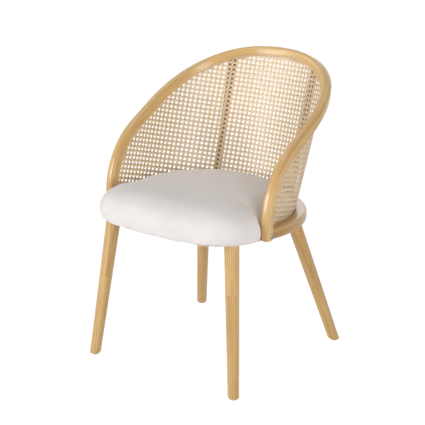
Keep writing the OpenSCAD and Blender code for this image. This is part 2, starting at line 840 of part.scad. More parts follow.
module leg_rear_left() {
    color(wood) translate([0, y_shift, 0]) mirror([1, 0, 0]) leg(rear_foot, rear_top);
}

module leg_rear_right() {
    color(wood) translate([0, y_shift, 0]) leg(rear_foot, rear_top);
}

module glide_front_left() {
    translate([0, y_shift, 0]) mirror([1, 0, 0]) glide(front_foot);
}

module glide_front_right() {
    translate([0, y_shift, 0]) glide(front_foot);
}

module glide_rear_left() {
    translate([0, y_shift, 0]) mirror([1, 0, 0]) glide(rear_foot);
}

module glide_rear_right() {
    translate([0, y_shift, 0]) glide(rear_foot);
}

module leg_bolts() {
    color("silver") translate([0, y_shift, 0]) at_each_leg()
        translate([0, 0, end_play - leg_bolt_in_leg]) cylinder(
            d = leg_bolt_d, h = leg_bolt_in_leg + insert_sink + insert_l - 2 * end_play
        );
}

module leg_inserts() {
    color("goldenrod") translate([0, y_shift, 0]) at_each_leg()
        translate([0, 0, insert_sink]) difference() {
            cylinder(d = insert_d, h = insert_l);
            translate([0, 0, -past])
                cylinder(d = leg_bolt_d + 2 * bolt_gap, h = insert_l + 2 * past);
        }
}

module post_bolts() {
    color("silver") translate([0, y_shift, 0]) for (s = [0, 1]) mirror([s, 0, 0])
        translate([post_face_x, bolt_y, frame_z + frame_t / 2]) rotate([0, 90, 0]) {
            translate([0, 0, -post_bolt_l]) cylinder(d = post_bolt_d, h = post_bolt_l + tiny);
            difference() {
                rotate_extrude() polygon([
                    [0, 0], [post_head_d / 2, 0], [post_head_d / 2, post_rim_h],
                    [post_head_d * 0.42, post_head_h * 0.8],
                    [post_head_d * 0.3, post_head_h], [0, post_head_h]
                ]);
                translate([0, 0, post_rim_h])
                    cylinder(d = post_head_d / 3, h = post_head_h, $fn = 6);
            }
        }
}

module post_barrel_nuts() {
    color("silver") translate([0, y_shift, 0]) for (s = [0, 1]) mirror([s, 0, 0])
        difference() {
            translate([barrel_x, bolt_y, frame_z + (frame_t - barrel_l) / 2])
                cylinder(d = barrel_d, h = barrel_l);
            post_bolt_hole();
        }
}

module board_screws() {
    color("silver") translate([0, y_shift, 0]) at_each_screw() {
        translate([0, 0, frame_z - screw_head_h]) cylinder(d = screw_head_d, h = screw_head_h);
        translate([0, 0, frame_z - tiny]) cylinder(d = screw_d, h = screw_l);
    }
}

seat_frame();
seat_board();
seat_foam();
seat_cover();
dust_cloth();
back_hoop();
cane_bead();
cane_panel();
cane_spline();
upright_left();
upright_right();
upright_dowels();
leg_front_left();
leg_front_right();
leg_rear_left();
leg_rear_right();
glide_front_left();
glide_front_right();
glide_rear_left();
glide_rear_right();
leg_bolts();
leg_inserts();
post_bolts();
post_barrel_nuts();
board_screws();
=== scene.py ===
# %% [markdown]
# # Dressing a cane armchair
# The chair was measured and built as plain solids first. This notebook loads those solids
# as a fixed frame, keeps the ones whose shape is already right, models smoother and finer
# pieces for the rest, and gives every surface a material made of nodes.
# Everything is in metres. The chair faces -Y and stands on the floor at z = 0.

# %% Load the measured chair
import math
import bmesh
import bpy
import numpy as np
from mathutils import Matrix, Vector


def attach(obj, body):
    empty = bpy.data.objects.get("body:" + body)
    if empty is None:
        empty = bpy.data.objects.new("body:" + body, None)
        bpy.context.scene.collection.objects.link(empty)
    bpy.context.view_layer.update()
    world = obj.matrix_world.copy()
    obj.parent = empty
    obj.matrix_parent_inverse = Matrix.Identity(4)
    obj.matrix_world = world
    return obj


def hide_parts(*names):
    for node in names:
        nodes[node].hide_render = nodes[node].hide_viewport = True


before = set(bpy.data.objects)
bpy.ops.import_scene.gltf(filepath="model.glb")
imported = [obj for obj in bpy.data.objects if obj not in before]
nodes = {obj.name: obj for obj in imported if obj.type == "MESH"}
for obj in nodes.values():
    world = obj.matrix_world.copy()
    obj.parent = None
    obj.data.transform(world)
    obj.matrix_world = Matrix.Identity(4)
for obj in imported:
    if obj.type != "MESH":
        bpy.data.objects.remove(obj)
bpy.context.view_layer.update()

# %% [markdown]
# ## Small helpers for modelling
# An operator works on everything that is selected, so each step starts by selecting only
# what it needs. `take` selects whole pieces, and `choose` selects vertices or faces of the
# piece that is being edited, by a rule on their place.

# %% Selecting pieces and parts of pieces
def deselect():
    bpy.ops.object.select_all(action="DESELECT")


def take(*pieces):
    deselect()
    for piece in pieces:
        piece.select_set(True)
    bpy.context.view_layer.objects.active = pieces[-1]


def choose(rule, kind="VERT"):
    bpy.ops.mesh.select_mode(type=kind)
    bpy.ops.mesh.select_all(action="DESELECT")
    mesh = bpy.context.edit_object.data
    work = bmesh.from_edit_mesh(mesh)
    found = 0
    for part in (work.verts if kind == "VERT" else work.faces):
        place = part.co if kind == "VERT" else part.calc_center_median()
        if rule(place):
            part.select_set(True)
            found += 1
    work.select_flush_mode()
    bmesh.update_edit_mesh(mesh)
    return found


def name_last(name):
    piece = bpy.context.object
    piece.name = name
    piece.data.name = name
    return piece


def freeze(piece):
    take(piece)
    bpy.ops.object.transform_apply(location=True, rotation=True, scale=True)
    return piece


def smooth(piece, degrees):
    take(piece)
    bpy.ops.object.shade_smooth_by_angle(angle=math.radians(degrees))


deselect()
print("helpers ready, nothing selected")

# %% [markdown]
# ## Camera
# The camera stands where the photographer stood: to the right of the chair's front, at the
# height of a tall person's chest, with a long lens. Its place was worked out from the feet
# and the hoop, so that the render can be laid over the picture.

# %% Place the camera
bpy.ops.object.camera_add(
    location=(1.804, -2.4085, 1.305),
    rotation=(math.radians(72.739), 0, math.radians(37.178)),
)
camera = bpy.context.object
camera.data.lens = 102.97
camera.data.sensor_width = 36
bpy.context.scene.camera = camera
bpy.context.scene.view_settings.view_transform = "Standard"
print("camera lens", round(camera.data.lens, 2), "mm")

# %% [markdown]
# ## Shader maths
# A material here is a small calculation over the surface: a colour that depends on noise, on
# height, on the distance from an edge. Such a sum could be wired up node by node. It reads
# better as a sum, so `Signal` wraps the output of a node, and adding or multiplying two of
# them adds the Math node that does it.

# %% Write shader sums as Python sums
class Signal:
    def __init__(self, finish, socket):
        self.finish, self.socket = finish, socket

    def maths(self, operation, *values):
        return self.finish.node("Math", dict(enumerate(values)), operation=operation)

    def __add__(self, other):
        return self.maths("ADD", self, other)

    def __sub__(self, other):
        return self.maths("SUBTRACT", self, other)

    def __rsub__(self, other):
        return self.maths("SUBTRACT", other, self)

    def __mul__(self, other):
        return self.maths("MULTIPLY", self, other)

    def __truediv__(self, other):
        return self.maths("DIVIDE", self, other)

    def __rtruediv__(self, other):
        return self.maths("DIVIDE", other, self)

    def __pow__(self, other):
        return self.maths("POWER", self, other)

    def __rpow__(self, other):
        return self.maths("POWER", other, self)

    def __abs__(self):
        return self.maths("ABSOLUTE", self)

    __radd__ = __add__
    __rmul__ = __mul__


print("a signal knows + - * / ** and abs, from either side")

# %% [markdown]
# ## A finish is a material with a shorthand
# `Finish` starts a material with one Principled shader and adds any other node in one line.
# What stays the same all over a piece is set as a plain number when the finish is started.
# What changes over the surface is linked at the end, with `set`.

# %% Add any other node in one line
class Finish:
    def __init__(self, name, **fixed):
        self.material = bpy.data.materials.new(name)
        self.material.use_nodes = True
        self.tree = self.material.node_tree
        self.tree.nodes.clear()
        self.output = self.tree.nodes.new("ShaderNodeOutputMaterial")
        self.shader = self.tree.nodes.new("ShaderNodeBsdfPrincipled")
        self.tree.links.new(self.shader.outputs[0], self.output.inputs[0])
        for key, value in fixed.items():
            self.shader.inputs[key.replace("_", " ")].default_value = value

    def feed(self, socket, value):
        if isinstance(value, Signal):
            self.tree.links.new(value.socket, socket)
        elif isinstance(value, (int, float)) or len(value) == len(socket.default_value):
            socket.default_value = value
        else:
            socket.default_value = (*value, 1.0)

    def node(self, kind, sockets, out=0, **settings):
        made = self.tree.nodes.new("ShaderNode" + kind)
        for key, value in settings.items():
            setattr(made, key, value)
        for key, value in sockets.items():
            self.feed(made.inputs[key], value)
        return Signal(self, made.outputs[out])

    def parts(self, vector):
        """The x, y and z of a vector."""
        made = self.node("SeparateXYZ", {0: vector}).socket.node
        return [Signal(self, out) for out in made.outputs]

    def spot(self):
        """The place on the piece, in metres from the chair's origin."""
        return self.node("TexCoord", {}, out="Object")

    def blend(self, factor, first, second):
        return self.node("Mix", {0: factor, 6: first, 7: second}, out=2, data_type="RGBA")

    def noise(self, vector, scale, detail=3.0, rough=0.5):
        return self.node("TexNoise", {"Vector": vector, "Scale": scale, "Detail": detail,
                                      "Roughness": rough})

    def stretch(self, vector, scale, place=(0, 0, 0)):
        return self.node("Mapping", {"Vector": vector, "Location": place, "Scale": scale})

    def spread(self, value, low, high, to_low=0.0, to_high=1.0):
        return self.node("MapRange", {"Value": value, "From Min": low, "From Max": high,
                                      "To Min": to_low, "To Max": to_high})

    def bump(self, height, distance, strength=1.0):
        return self.node("Bump", {"Height": height, "Distance": distance, "Strength": strength})

    def set(self, **values):
        for key, value in values.items():
            self.feed(self.shader.inputs[key.replace("_", " ")], value)
        return self.material


print("a finish can:", [name for name in vars(Finish) if name[0] != "_"])

# %% [markdown]
# ## Colours
# Colours are easy to compare with a picture as three numbers from 0 to 255. Those numbers are
# spaced to suit the eye. Light itself adds up in linear numbers, and a shader wants these, so
# `srgb` turns the one kind into the other.

# %% Turn picture colours into light
def srgb(r, g, b):
    return tuple(((c / 255 + 0.055) / 1.055) ** 2.4 if c > 10 else c / 3294.6 for c in (r, g, b))


print("white in linear light:", srgb(255, 255, 255))

# %% [markdown]
# ## Wood
# The chair is made of pale hardwood under a clear satin lacquer. Wood shows three things at
# once: broad streaks, fine growth lines, and short pores. All three run along the grain, so
# the pattern is made from noise that is stretched along one axis. A picture of wood would be
# quicker, but it would repeat, and it can't follow a bent stick. `wood` takes any coordinates
# whose x axis runs along the grain. Where a piece is glued up from several boards, the pattern
# jumps at each joint and the tone changes a little.

# %% Make a wood finish for any grain direction
HONEY = [srgb(184, 136, 70), srgb(216, 174, 106), srgb(238, 206, 148)]
PALE = [srgb(214, 178, 122), srgb(229, 197, 148), srgb(240, 213, 170)]
WAVE = 0.314  # a wave texture of this scale repeats once in a metre
LINE_GAP = 0.0042
LATE_WOOD, SHADE_DEPTH = 0.62, 0.22  # how dark growth lines and painted shade are beside the darkest tone


def cut_in_boards(f, grain, board, start):
    """Moves the pattern at each joint, and gives each board a number from 0 to 1."""
    number = f.node("Math", {0: (f.parts(grain)[0] + start) / board}, operation="FLOOR")
    jump = f.node("CombineXYZ", {0: number * 0.37, 1: number * 0.61})
    chance = f.node("TexWhiteNoise", {"W": number}, noise_dimensions="1D")
    return f.node("VectorMath", {0: grain, 1: jump}, operation="ADD"), chance


def wood(name, aim, tones=HONEY, contrast=1.0, board=0.0, start=0.0, painted_shade=None):
    """Wood whose grain follows the x axis of `aim`, in boards of one length where asked."""
    f = Finish(name, Specular_IOR_Level=0.3, Coat_Weight=0.6, Coat_Roughness=0.2, Coat_IOR=1.45)
    grain = aim(f)
    if board:
        grain, chance = cut_in_boards(f, grain, board, start)
    sway = f.noise(f.stretch(grain, (3.0, 20.0, 20.0)), 1.0, 2.0)
    streak = f.noise(f.stretch(grain, (4.0, 70.0, 70.0)), 1.0, 4.0, 0.6)
    lines = f.node("TexWave", {
        "Vector": f.stretch(grain, (0.55, 1.0, 0.8)), "Scale": WAVE / LINE_GAP,
        "Distortion": 2.4, "Detail": 2.5, "Detail Scale": 0.5, "Detail Roughness": 0.6,
    }, wave_type="BANDS", bands_direction="Y", wave_profile="SAW")
    pores = f.noise(f.stretch(grain, (70.0, 1500.0, 1500.0)), 1.0, 2.0, 0.6)
    tone = f.spread(streak + sway * 0.5, 0.5, 1.0)
    colour = f.blend(tone, tones[0], tones[2])
    colour = f.blend(0.35, colour, tones[1])
    if board:
        colour = f.blend(f.spread(chance, 0, 1, 0, 0.35), colour, tones[0])
    dark = tuple(c * LATE_WOOD for c in tones[0])
    colour = f.blend(f.spread(lines, 0.55, 1.0, 0.0, 0.5 * contrast), colour, dark)
    colour = f.blend(f.spread(pores, 0.56, 0.74, 0.0, 0.38 * contrast), colour, dark)
    # painted shade: where the mask says, the wood turns nearly black, for shadow that the light
    # doesn't draw
    if painted_shade:
        colour = f.blend(painted_shade(f), colour, tuple(c * SHADE_DEPTH for c in tones[0]))
    rough = f.spread(streak + pores * 0.4, 0.4, 1.0, 0.34, 0.5)
    relief = f.bump(pores, 0.00012, 0.25)
    return f.set(Base_Color=colour, Roughness=rough, Normal=relief)


print("wood tones:", [[round(c, 3) for c in tone] for tone in HONEY])

# %% [markdown]
# ## Pointing the grain
# A leg is straight, so its grain is the line from foot to top, and a Mapping node turns the
# pattern onto it. The hoop is bent, so no turn fits: its mesh carries its own coordinates in
# an attribute called grain, which is written when the hoop is modelled.

# %% Point the grain along a line or along the bent stick
# painted light: the grain is shifted so that the hoop's inner face lies in a pale band, as if lit
INNER_FACE_LIGHT = 0.0017


def along_attribute(f):
    """Grain along the bent stick, moved so that its inner face lies in pale early wood: painted
    light for the lit inner face.
    """
    grain = f.node("Attribute", {}, out="Vector", attribute_name="grain")
    return f.stretch(grain, (1, 1, 1), (0, INNER_FACE_LIGHT, 0))


def along_axis(start, end):
    start, end = Vector(start), Vector(end)
    turn = (end - start).to_track_quat("X", "Z").to_euler()

    def aim(f):
        return f.node("Mapping", {"Vector": f.spot(), "Location": tuple(start),
                                  "Rotation": tuple(turn)}, vector_type="TEXTURE")
    return aim


def dress(node, material):
    """Gives a measured solid its material, in each slot that it has."""
    slots = nodes[node].data.materials
    if slots:
        for i in range(len(slots)):
            slots[i] = material
    else:
        slots.append(material)


print("solids that can be dressed:", len(nodes))

# %% [markdown]
# ## The hoop's middle line
# One long stick is steamed and bent to make both posts, both arms and the top rail. Its
# middle line goes straight up the post, round a bend, up the arm at a steady slope and round
# the back in a rounded bow. The line is worked out here as points at even steps, because
# everything that follows the hoop is measured along it.

# %% Work out the hoop's line
SEAT_Y = -0.0635387
FRAME_Z, FRAME_TOP = 0.380, 0.405
HALF_W, TOP_Z, BACK_Y, POST_Y, STRAIGHT_Y = 0.246, 0.751, 0.329, -0.076, 0.085
SQUARE, SLOPE, BEND_R, BEND_Z = 2.28, math.radians(29.5057), 0.189, 0.4116
HOOP_U, HOOP_V = 0.013, 0.014
BEND = math.pi / 2 - SLOPE
BEND_END = (POST_Y + BEND_R * (1 - math.cos(BEND)), BEND_Z + BEND_R * math.sin(BEND))
LEAN = math.atan(STRAIGHT_Y / (TOP_Z - FRAME_TOP))
LEAN_AXIS = np.array([0, math.sin(LEAN), math.cos(LEAN)])


def arm_z(y):
    return BEND_END[1] + (y - BEND_END[0]) * math.tan(SLOPE)


def hoop_line(count):
    """Even steps along the stick, and the points there, from one half and its mirror image."""
    rise = np.linspace(FRAME_Z, BEND_Z, 30)[:-1]
    turn = np.linspace(0, BEND, 200)
    arm = np.linspace(BEND_END[0], STRAIGHT_Y, 60)[1:]
    bow = np.linspace(0, math.pi / 2, 1200)[1:]
    x = HALF_W * np.maximum(np.cos(bow), 0) ** (2 / SQUARE)
    y = STRAIGHT_Y + (BACK_Y - STRAIGHT_Y) * np.sin(bow) ** (2 / SQUARE)
    half = np.vstack([
        np.stack([rise * 0 + HALF_W, rise * 0 + POST_Y, rise], 1),
        np.stack([turn * 0 + HALF_W, POST_Y + BEND_R * (1 - np.cos(turn)),
                  BEND_Z + BEND_R * np.sin(turn)], 1),
        np.stack([arm * 0 + HALF_W, arm, arm_z(arm)], 1),
        np.stack([x, y, arm_z(y)], 1),
    ])
    whole = np.vstack([half, half[:-1][::-1] * [-1, 1, 1]])
    run = np.r_[0, np.cumsum(np.linalg.norm(np.diff(whole, axis=0), axis=1))]
    steps = np.linspace(0, run[-1], count)
    return steps, np.stack([np.interp(steps, run, whole[:, k]) for k in range(3)], 1)


STEPS, LINE = hoop_line(2401)
print("length of the bent stick:", round(STEPS[-1], 3), "m")

# %% [markdown]
# ## Which way the stick faces
# A rectangular stick that is bent in two directions also has to face somewhere. The hoop is
# bent so that its outer side looks away from the seat all the way round, without a twist. That
# side is the normal of the bow as seen from above, tilted to stand square to the stick.

# %% Find the stick's three directions at each point
def unit(rows):
    return rows / np.linalg.norm(rows, axis=-1, keepdims=True)


def hoop_sides(line):
    along = unit(np.gradient(line, axis=0))
    x, y = line[:, 0], line[:, 1]
    bowed = np.stack([
        np.sign(x) * (np.abs(x) / HALF_W) ** (SQUARE - 1) / HALF_W,
        (np.maximum(y - STRAIGHT_Y, 0) / (BACK_Y - STRAIGHT_Y)) ** (SQUARE - 1)
        / (BACK_Y - STRAIGHT_Y),
        x * 0,
    ], 1)
    plan = np.where((y <= STRAIGHT_Y)[:, None], np.stack([np.sign(x), x * 0, x * 0], 1), bowed)
    plan = unit(plan)
    level = plan - (plan @ LEAN_AXIS)[:, None] * LEAN_AXIS
    out = unit(level - (level * along).sum(1, keepdims=True) * along)
    return along, out, np.cross(out, along)


ALONG, OUT, AWAY = hoop_sides(LINE)
print("at the middle of the back, out is", [round(float(c), 3) for c in OUT[len(OUT) // 2]])

# %% [markdown]
# ## The hoop's section
# Cut through, the stick is a rectangle of 26 by 28 mm with three well-rounded corners. The
# fourth, inner and lower one is cut away as a small step, the rebate, which takes the edge of
# the cane and the bead that clamps it. The outline is drawn once, as a flat loop of edges.

# %% Draw a section as a flat outline
def outline(name, low, high, round_corners, radius, segments, notch=None):
    deselect()
    bpy.ops.mesh.primitive_plane_add(size=1)
    piece = name_last(name)
    piece.scale = (high[0] - low[0], high[1] - low[1], 1)
    piece.location = ((high[0] + low[0]) / 2, (high[1] + low[1]) / 2, 0)
    freeze(piece)
    bpy.ops.object.mode_set(mode="EDIT")
    choose(lambda p: any((p.xy - Vector(c)).length < 1e-6 for c in round_corners))
    bpy.ops.mesh.bevel(offset=radius, segments=segments, affect="VERTICES", profile=0.5)
    if notch:
        for side in ((1, 0, 0), (0, 1, 0)):
            bpy.ops.mesh.select_all(action="SELECT")
            bpy.ops.mesh.bisect(plane_co=(*notch, 0), plane_no=side)
        choose(lambda p: p.x < notch[0] and p.y < notch[1], "FACE")
        bpy.ops.mesh.delete(type="FACE")
    bpy.ops.mesh.select_all(action="SELECT")
    bpy.ops.mesh.dissolve_limited(angle_limit=0.001)
    bpy.ops.mesh.select_all(action="SELECT")
    bpy.ops.mesh.delete(type="ONLY_FACE")
    bpy.ops.object.mode_set(mode="OBJECT")
    return piece


hoop_section = outline(
    "hoop_section", (-HOOP_U, -HOOP_V), (HOOP_U, HOOP_V),
    [(HOOP_U, HOOP_V), (-HOOP_U, HOOP_V), (HOOP_U, -HOOP_V)], 0.009, 7,
    notch=(-0.006, -0.00775),
)
print("corners of the hoop's section:", len(hoop_section.data.vertices))

# %% [markdown]
# ## Sections that are set up along the line
# A boat builder sets up ribs and planks them over. The hoop is made the same way: a copy of
# the section is set up at each station along the line. Each copy remembers how far along the
# stick it stands, so that the grain can follow the bend. Towards the stick's two ends the
# copies shrink a little, which rounds the ends over.

# %% Set the sections up
END_ROOM = 0.006
ENDS = [(0.0, 0.70), (0.0006, 0.80), (0.0016, 0.89), (0.003, 0.955), (0.005, 1.0)]


def stations(gap):
    """For each copy: its point on the line, its size and how far along the stick it stands."""
    last = len(LINE) - 1
    picked = np.unique(np.round(np.linspace(0, last, int(STEPS[-1] / gap) + 1)).astype(int))
    made = [(int(i), 1.0, float(STEPS[i])) for i in picked
            if END_ROOM < STEPS[i] < STEPS[-1] - END_ROOM]
    for length, shrink in ENDS:
        i = int(np.searchsorted(STEPS, length))
        made.append((i, shrink, length))
        made.append((last - i, shrink, float(STEPS[-1] - length)))
    return made


def set_up(section, stations):
    shape = np.array([v.co[:2] for v in section.data.vertices])
    ribs = []
    for index, shrink, length in stations:
        rib = section.copy()
        rib.data = section.data.copy()
        grain = rib.data.attributes.new("grain", "FLOAT_VECTOR", "POINT")
        facts = np.column_stack([np.full(len(shape), length), shape * shrink])
        grain.data.foreach_set("vector", facts.ravel())
        place = LINE[index] + (0, SEAT_Y, 0)
        if length < STEPS[index]:
            place = place - ALONG[index] * (STEPS[index] - length)
        rib.matrix_world = Matrix((
            (*(OUT[index] * shrink),), (*(AWAY[index] * shrink),), (*(-ALONG[index]),),
        )).transposed().to_4x4()
        rib.matrix_world.translation = place
        bpy.context.scene.collection.objects.link(rib)
        ribs.append(rib)
    take(*ribs)
    bpy.ops.object.transform_apply(location=True, rotation=True, scale=True)
    bpy.ops.object.join()
    return bpy.context.object


print("stations 7 mm apart:", len(stations(0.007)))

# %% [markdown]
# ## Planking
# Now neighbouring outlines are bridged with faces, and the first and last one are closed.
# The outlines are sorted by the length that they remember, so it doesn't matter in which
# order they were joined. `loft` does the whole of it for any section.

# %% Bridge the sections
def plank(piece):
    """Bridges each outline to the next one, and closes both ends."""
    bpy.ops.object.mode_set(mode="EDIT")
    bpy.ops.mesh.select_mode(type="EDGE")
    mesh = piece.data
    work = bmesh.from_edit_mesh(mesh)
    layer = work.verts.layers.float_vector["grain"]
    lengths = sorted({round(v[layer][0], 5) for v in work.verts})
    order = {length: i for i, length in enumerate(lengths)}
    rings = [[] for _ in lengths]
    work.edges.index_update()
    for edge in work.edges:
        rings[order[round(edge.verts[0][layer][0], 5)]].append(edge.index)
    for i in range(len(rings) + 1):
        bpy.ops.mesh.select_all(action="DESELECT")
        work = bmesh.from_edit_mesh(mesh)
        work.edges.ensure_lookup_table()
        for ring in rings[max(i - 1, 0):i + 1]:
            for index in ring:
                work.edges[index].select_set(True)
        bmesh.update_edit_mesh(mesh)
        if i in (0, len(rings)):
            bpy.ops.mesh.edge_face_add()
        else:
            bpy.ops.mesh.bridge_edge_loops()
    bpy.ops.mesh.select_all(action="SELECT")
    bpy.ops.mesh.normals_make_consistent(inside=False)
    bpy.ops.object.mode_set(mode="OBJECT")
    return len(rings)


def loft(name, section):
    piece = set_up(section, stations(0.007))
    piece.name = piece.data.name = name
    rings = plank(piece)
    bpy.data.objects.remove(section)
    print(name, "from", rings, "outlines,", len(piece.data.polygons), "faces")
    return piece


hoop = loft("hoop", hoop_section)

# %% [markdown]
# ## The bead
# A thin strip of paler wood is pinned into a step along the inside of the hoop and clamps the
# edge of the cane. It follows the same line, so the same helper makes it from a smaller
# outline with two rounded corners. The hair-fine gap beside it is the dark line that the eye
# sees along the real one.

# %% Draw the bead's section and set it up
BEAD_LOW, BEAD_HIGH = (-HOOP_U, -0.0118), (-0.0085, -0.0082)
bead = loft("bead", outline("bead_section", BEAD_LOW, BEAD_HIGH,
                            [BEAD_LOW, (BEAD_LOW[0], BEAD_HIGH[1])], 0.0014, 4))

# %% [markdown] ## Dressing the hoop and the bead Both pieces are smooth to the touch, but
# their corners still catch the light. So faces that meet at less than 38 degrees are shaded
# as one surface, and sharper edges stay edges. The bead is cut from paler wood than the
# hoop.

# %% Smooth, dress and place both
for piece, node, slot, tones in (
    (hoop, "back_hoop", "wood", HONEY),
    (bead, "cane_bead", "bead_wood", PALE),
):
    smooth(piece, 38)
    piece.data.materials.clear()
    piece.data.materials.append(wood(piece.name + "_wood", along_attribute, tones))
    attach(piece, "root")
    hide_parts(node)
    print(piece.name, "replaces", node, "with", [round(c, 3) for c in piece.dimensions])

# %% [markdown]
# ## The shell that the cane follows
# The cane is stretched between the hoop and a round groove in the seat frame, along straight
# lines. Such a surface can be laid flat without stretching, as a paper cone can, and the
# webbing was woven flat. So the weave is drawn on the flat pattern of the shell, where its
# rows are straight, and then wrapped on.

# %% Stretch straight rules from the groove to the hoop
CANE_U = -0.00725
FOOT_R, KNEE = 0.2305, math.radians(88)
KNEE_SPOT = (FOOT_R * math.sin(KNEE), FOOT_R * math.cos(KNEE))
TOE, TUCK = 0.005, 0.0055  # how deep the cane sits in the groove and in the rebate
FRONT_SPOT = (HALF_W + CANE_U, POST_Y + HOOP_V - TUCK)


def foot_of(mouth):
    """Where the rule from a point of the hoop meets the groove: the shell narrows like a cone."""
    back = mouth[:, 1] - STRAIGHT_Y * (mouth[:, 2] - FRAME_TOP) / (TOP_Z - FRAME_TOP)
    side = np.hypot(mouth[:, 0], back)
    y = np.where(back < 0, np.maximum(back, FRONT_SPOT[1]), FOOT_R * back / side)
    ahead = KNEE_SPOT[0] + (FRONT_SPOT[0] - KNEE_SPOT[0]) * (KNEE_SPOT[1] - y) / (
        KNEE_SPOT[1] - FRONT_SPOT[1])
    ring = np.sqrt(np.maximum(FOOT_R ** 2 - y ** 2, 0))
    x = np.where(y > KNEE_SPOT[1], ring, ahead) * np.sign(mouth[:, 0])
    x = np.where((back > 0) & (y > KNEE_SPOT[1]), FOOT_R * mouth[:, 0] / side, x)
    return np.stack([x, y, x * 0 + FRAME_TOP], 1)


start = int(np.searchsorted(STEPS, BEND_Z - FRAME_Z))
rules = np.arange(start, len(LINE) - start, 4)
rules = np.unique(np.r_[rules, len(LINE) // 2, len(LINE) - 1 - rules])
mouths = (LINE + CANE_U * OUT - (HOOP_V - TUCK) * AWAY)[rules]
feet = foot_of(mouths)
rise = np.linalg.norm(mouths - feet, axis=1)
rule_way = unit(mouths - feet)


def outer_face(edge):
    """The shell's outward normal along one of its edges."""
    face = unit(np.cross(np.gradient(edge, axis=0), rule_way))
    return face * np.sign((face * OUT[rules]).sum(1, keepdims=True))


foot_face, mouth_face = outer_face(feet), outer_face(mouths)
print("rules:", len(rules), "from", round(rise.min() * 1000), "to", round(rise.max() * 1000), "mm")

# %% [markdown]
# ## The flat pattern
# Two neighbouring rules and the gaps between their ends form two triangles. Three lengths fix
# a triangle, so the shell can be laid flat as a dressmaker would do it: triangle by triangle,
# from the middle of the back to both sides, each one against the last.

# %% Lay the shell flat
def triangle_tip(p, q, from_p, from_q, side):
    """The third corner of a triangle, from two corners and its distance from each."""
    gap = np.linalg.norm(q - p)
    way = (q - p) / gap
    reach = (from_p ** 2 - from_q ** 2 + gap ** 2) / (2 * gap)
    height = math.sqrt(max(from_p ** 2 - reach ** 2, 0))
    return p + reach * way + side * height * np.array([-way[1], way[0]])


def lay_flat():
    count, middle = len(rules), len(rules) // 2
    low, high = np.zeros((count, 2)), np.zeros((count, 2))
    high[middle] = (0, rise[middle])
    far = np.linalg.norm
    for step in (1, -1):
        i = middle
        while 0 <= i + step < count:
            j = i + step
            high[j] = triangle_tip(low[i], high[i], far(mouths[j] - feet[i]),
                                   far(mouths[j] - mouths[i]), step)
            low[j] = triangle_tip(low[i], high[j], far(feet[j] - feet[i]),
                                  far(feet[j] - mouths[j]), step)
            i = j
    return low, high


flat_feet, flat_mouths = lay_flat()
flat_way = unit(flat_mouths - flat_feet)
print("flat pattern:", round(np.ptp(flat_mouths[:, 0]) * 1000), "mm wide,",
      round(rise.max() * 1000), "mm high at the back")

# %% [markdown]
# ## From the flat pattern back to the shell
# Webbing goes on wet, is pulled tight and follows the shell as it dries. Here each place on
# the flat pattern is found between two rules, as a share of the way from one to the next and
# a height up the rule. The same share and height on the real shell give its place there.
# Below the frame's top the cane turns straight down, into the groove.

# %% Find a place on the shell from a place on the flat pattern
def cross2(a, b):
    return a[:, 0] * b[:, 1] - a[:, 1] * b[:, 0]


def find_rule(flat):
    """Halves the range of rules until two neighbours are left, for all places at once."""
    low = np.zeros(len(flat), int)
    high = np.full(len(flat), len(rules) - 1)
    while (high - low).max() > 1:
        middle = (low + high) // 2
        past = cross2(flat_way[middle], flat - flat_feet[middle]) > 0
        low, high = np.where(past, middle, low), np.where(past, high, middle)
    low = np.minimum(low, len(rules) - 2)
    before = cross2(flat_way[low], flat - flat_feet[low])
    after = -cross2(flat_way[low + 1], flat - flat_feet[low + 1])
    share = before / np.maximum(before + after, 1e-9)
    inside = (share > -1e-6) & (share < 1 + 1e-6)
    share = np.clip(share, 0, 1)[:, None]
    foot = flat_feet[low] * (1 - share) + flat_feet[low + 1] * share
    way = unit(flat_way[low] * (1 - share) + flat_way[low + 1] * share)
    height = ((flat - foot) * way).sum(1)
    length = rise[low] * (1 - share[:, 0]) + rise[low + 1] * share[:, 0]
    return low, share, height, length, inside


def on_panel(flat):
    _, _, height, length, inside = find_rule(flat)
    return inside & (height > -TOE) & (height < length)


def wrap(flat, lift):
    """Places on the chair, for places on the flat pattern and their height above it."""
    low, share, height, length, _ = find_rule(flat)
    height = np.clip(height, -TOE, length)

    def mixed(rows):
        return rows[low] * (1 - share) + rows[low + 1] * share
    foot, mouth = mixed(feet), mixed(mouths)
    part = np.maximum(height / length, 0)[:, None]
    spot = foot + (mouth - foot) * part
    spot += np.minimum(height, 0)[:, None] * (0, 0, 1)
    face = mixed(foot_face) * (1 - part) + mixed(mouth_face) * part
    face = np.where(height[:, None] < 0, face * (1, 1, 0), face)
    return spot + unit(face) * lift[:, None] + (0, SEAT_Y, 0)


check = wrap(np.array([[0, 0.1]]), np.zeros(1))[0]
print("100 mm up the middle of the back lies at", [round(float(c), 4) for c in check])

# %% [markdown]
# ## The weave
# Cane webbing is woven in four directions: pairs of strands up and across, and single strands
# along both diagonals, which cut the corners of the square holes and make them eight-sided.
# The strands are counted in cells of the weave, with a hole at each whole number. How the
# cells lie on the flat pattern was measured: a row of holes is nearly straight, with a slight
# sag from the pull of the hoop.

# %% Fix the weave's cells on the flat pattern
# All in millimetres: the hole (0, 0), the way to the next column and row, the shift of one row
# against the last, and the sag and slope of the rows.
HOLE_X, HOLE_Y, COLUMN, ROW = 56.91, 199.09, 12.837, 12.336
SHIFT, SAG, TILT = 0.09, 1.224e-4, 0.0130


def cell_to_flat(cells):
    x = HOLE_X + COLUMN * cells[:, 0] + SHIFT * cells[:, 1]
    y = HOLE_Y + ROW * cells[:, 1] - SAG * x ** 2 - TILT * x
    return np.stack([x, y], 1) / 1000


def flat_to_cell(flat):
    x, y = flat[:, 0] * 1000, flat[:, 1] * 1000
    row = (y - HOLE_Y + SAG * x ** 2 + TILT * x) / ROW
    return (x - HOLE_X - SHIFT * row) / COLUMN, row


print("a hole lies at", cell_to_flat(np.zeros((1, 2)))[0], "on the flat pattern")

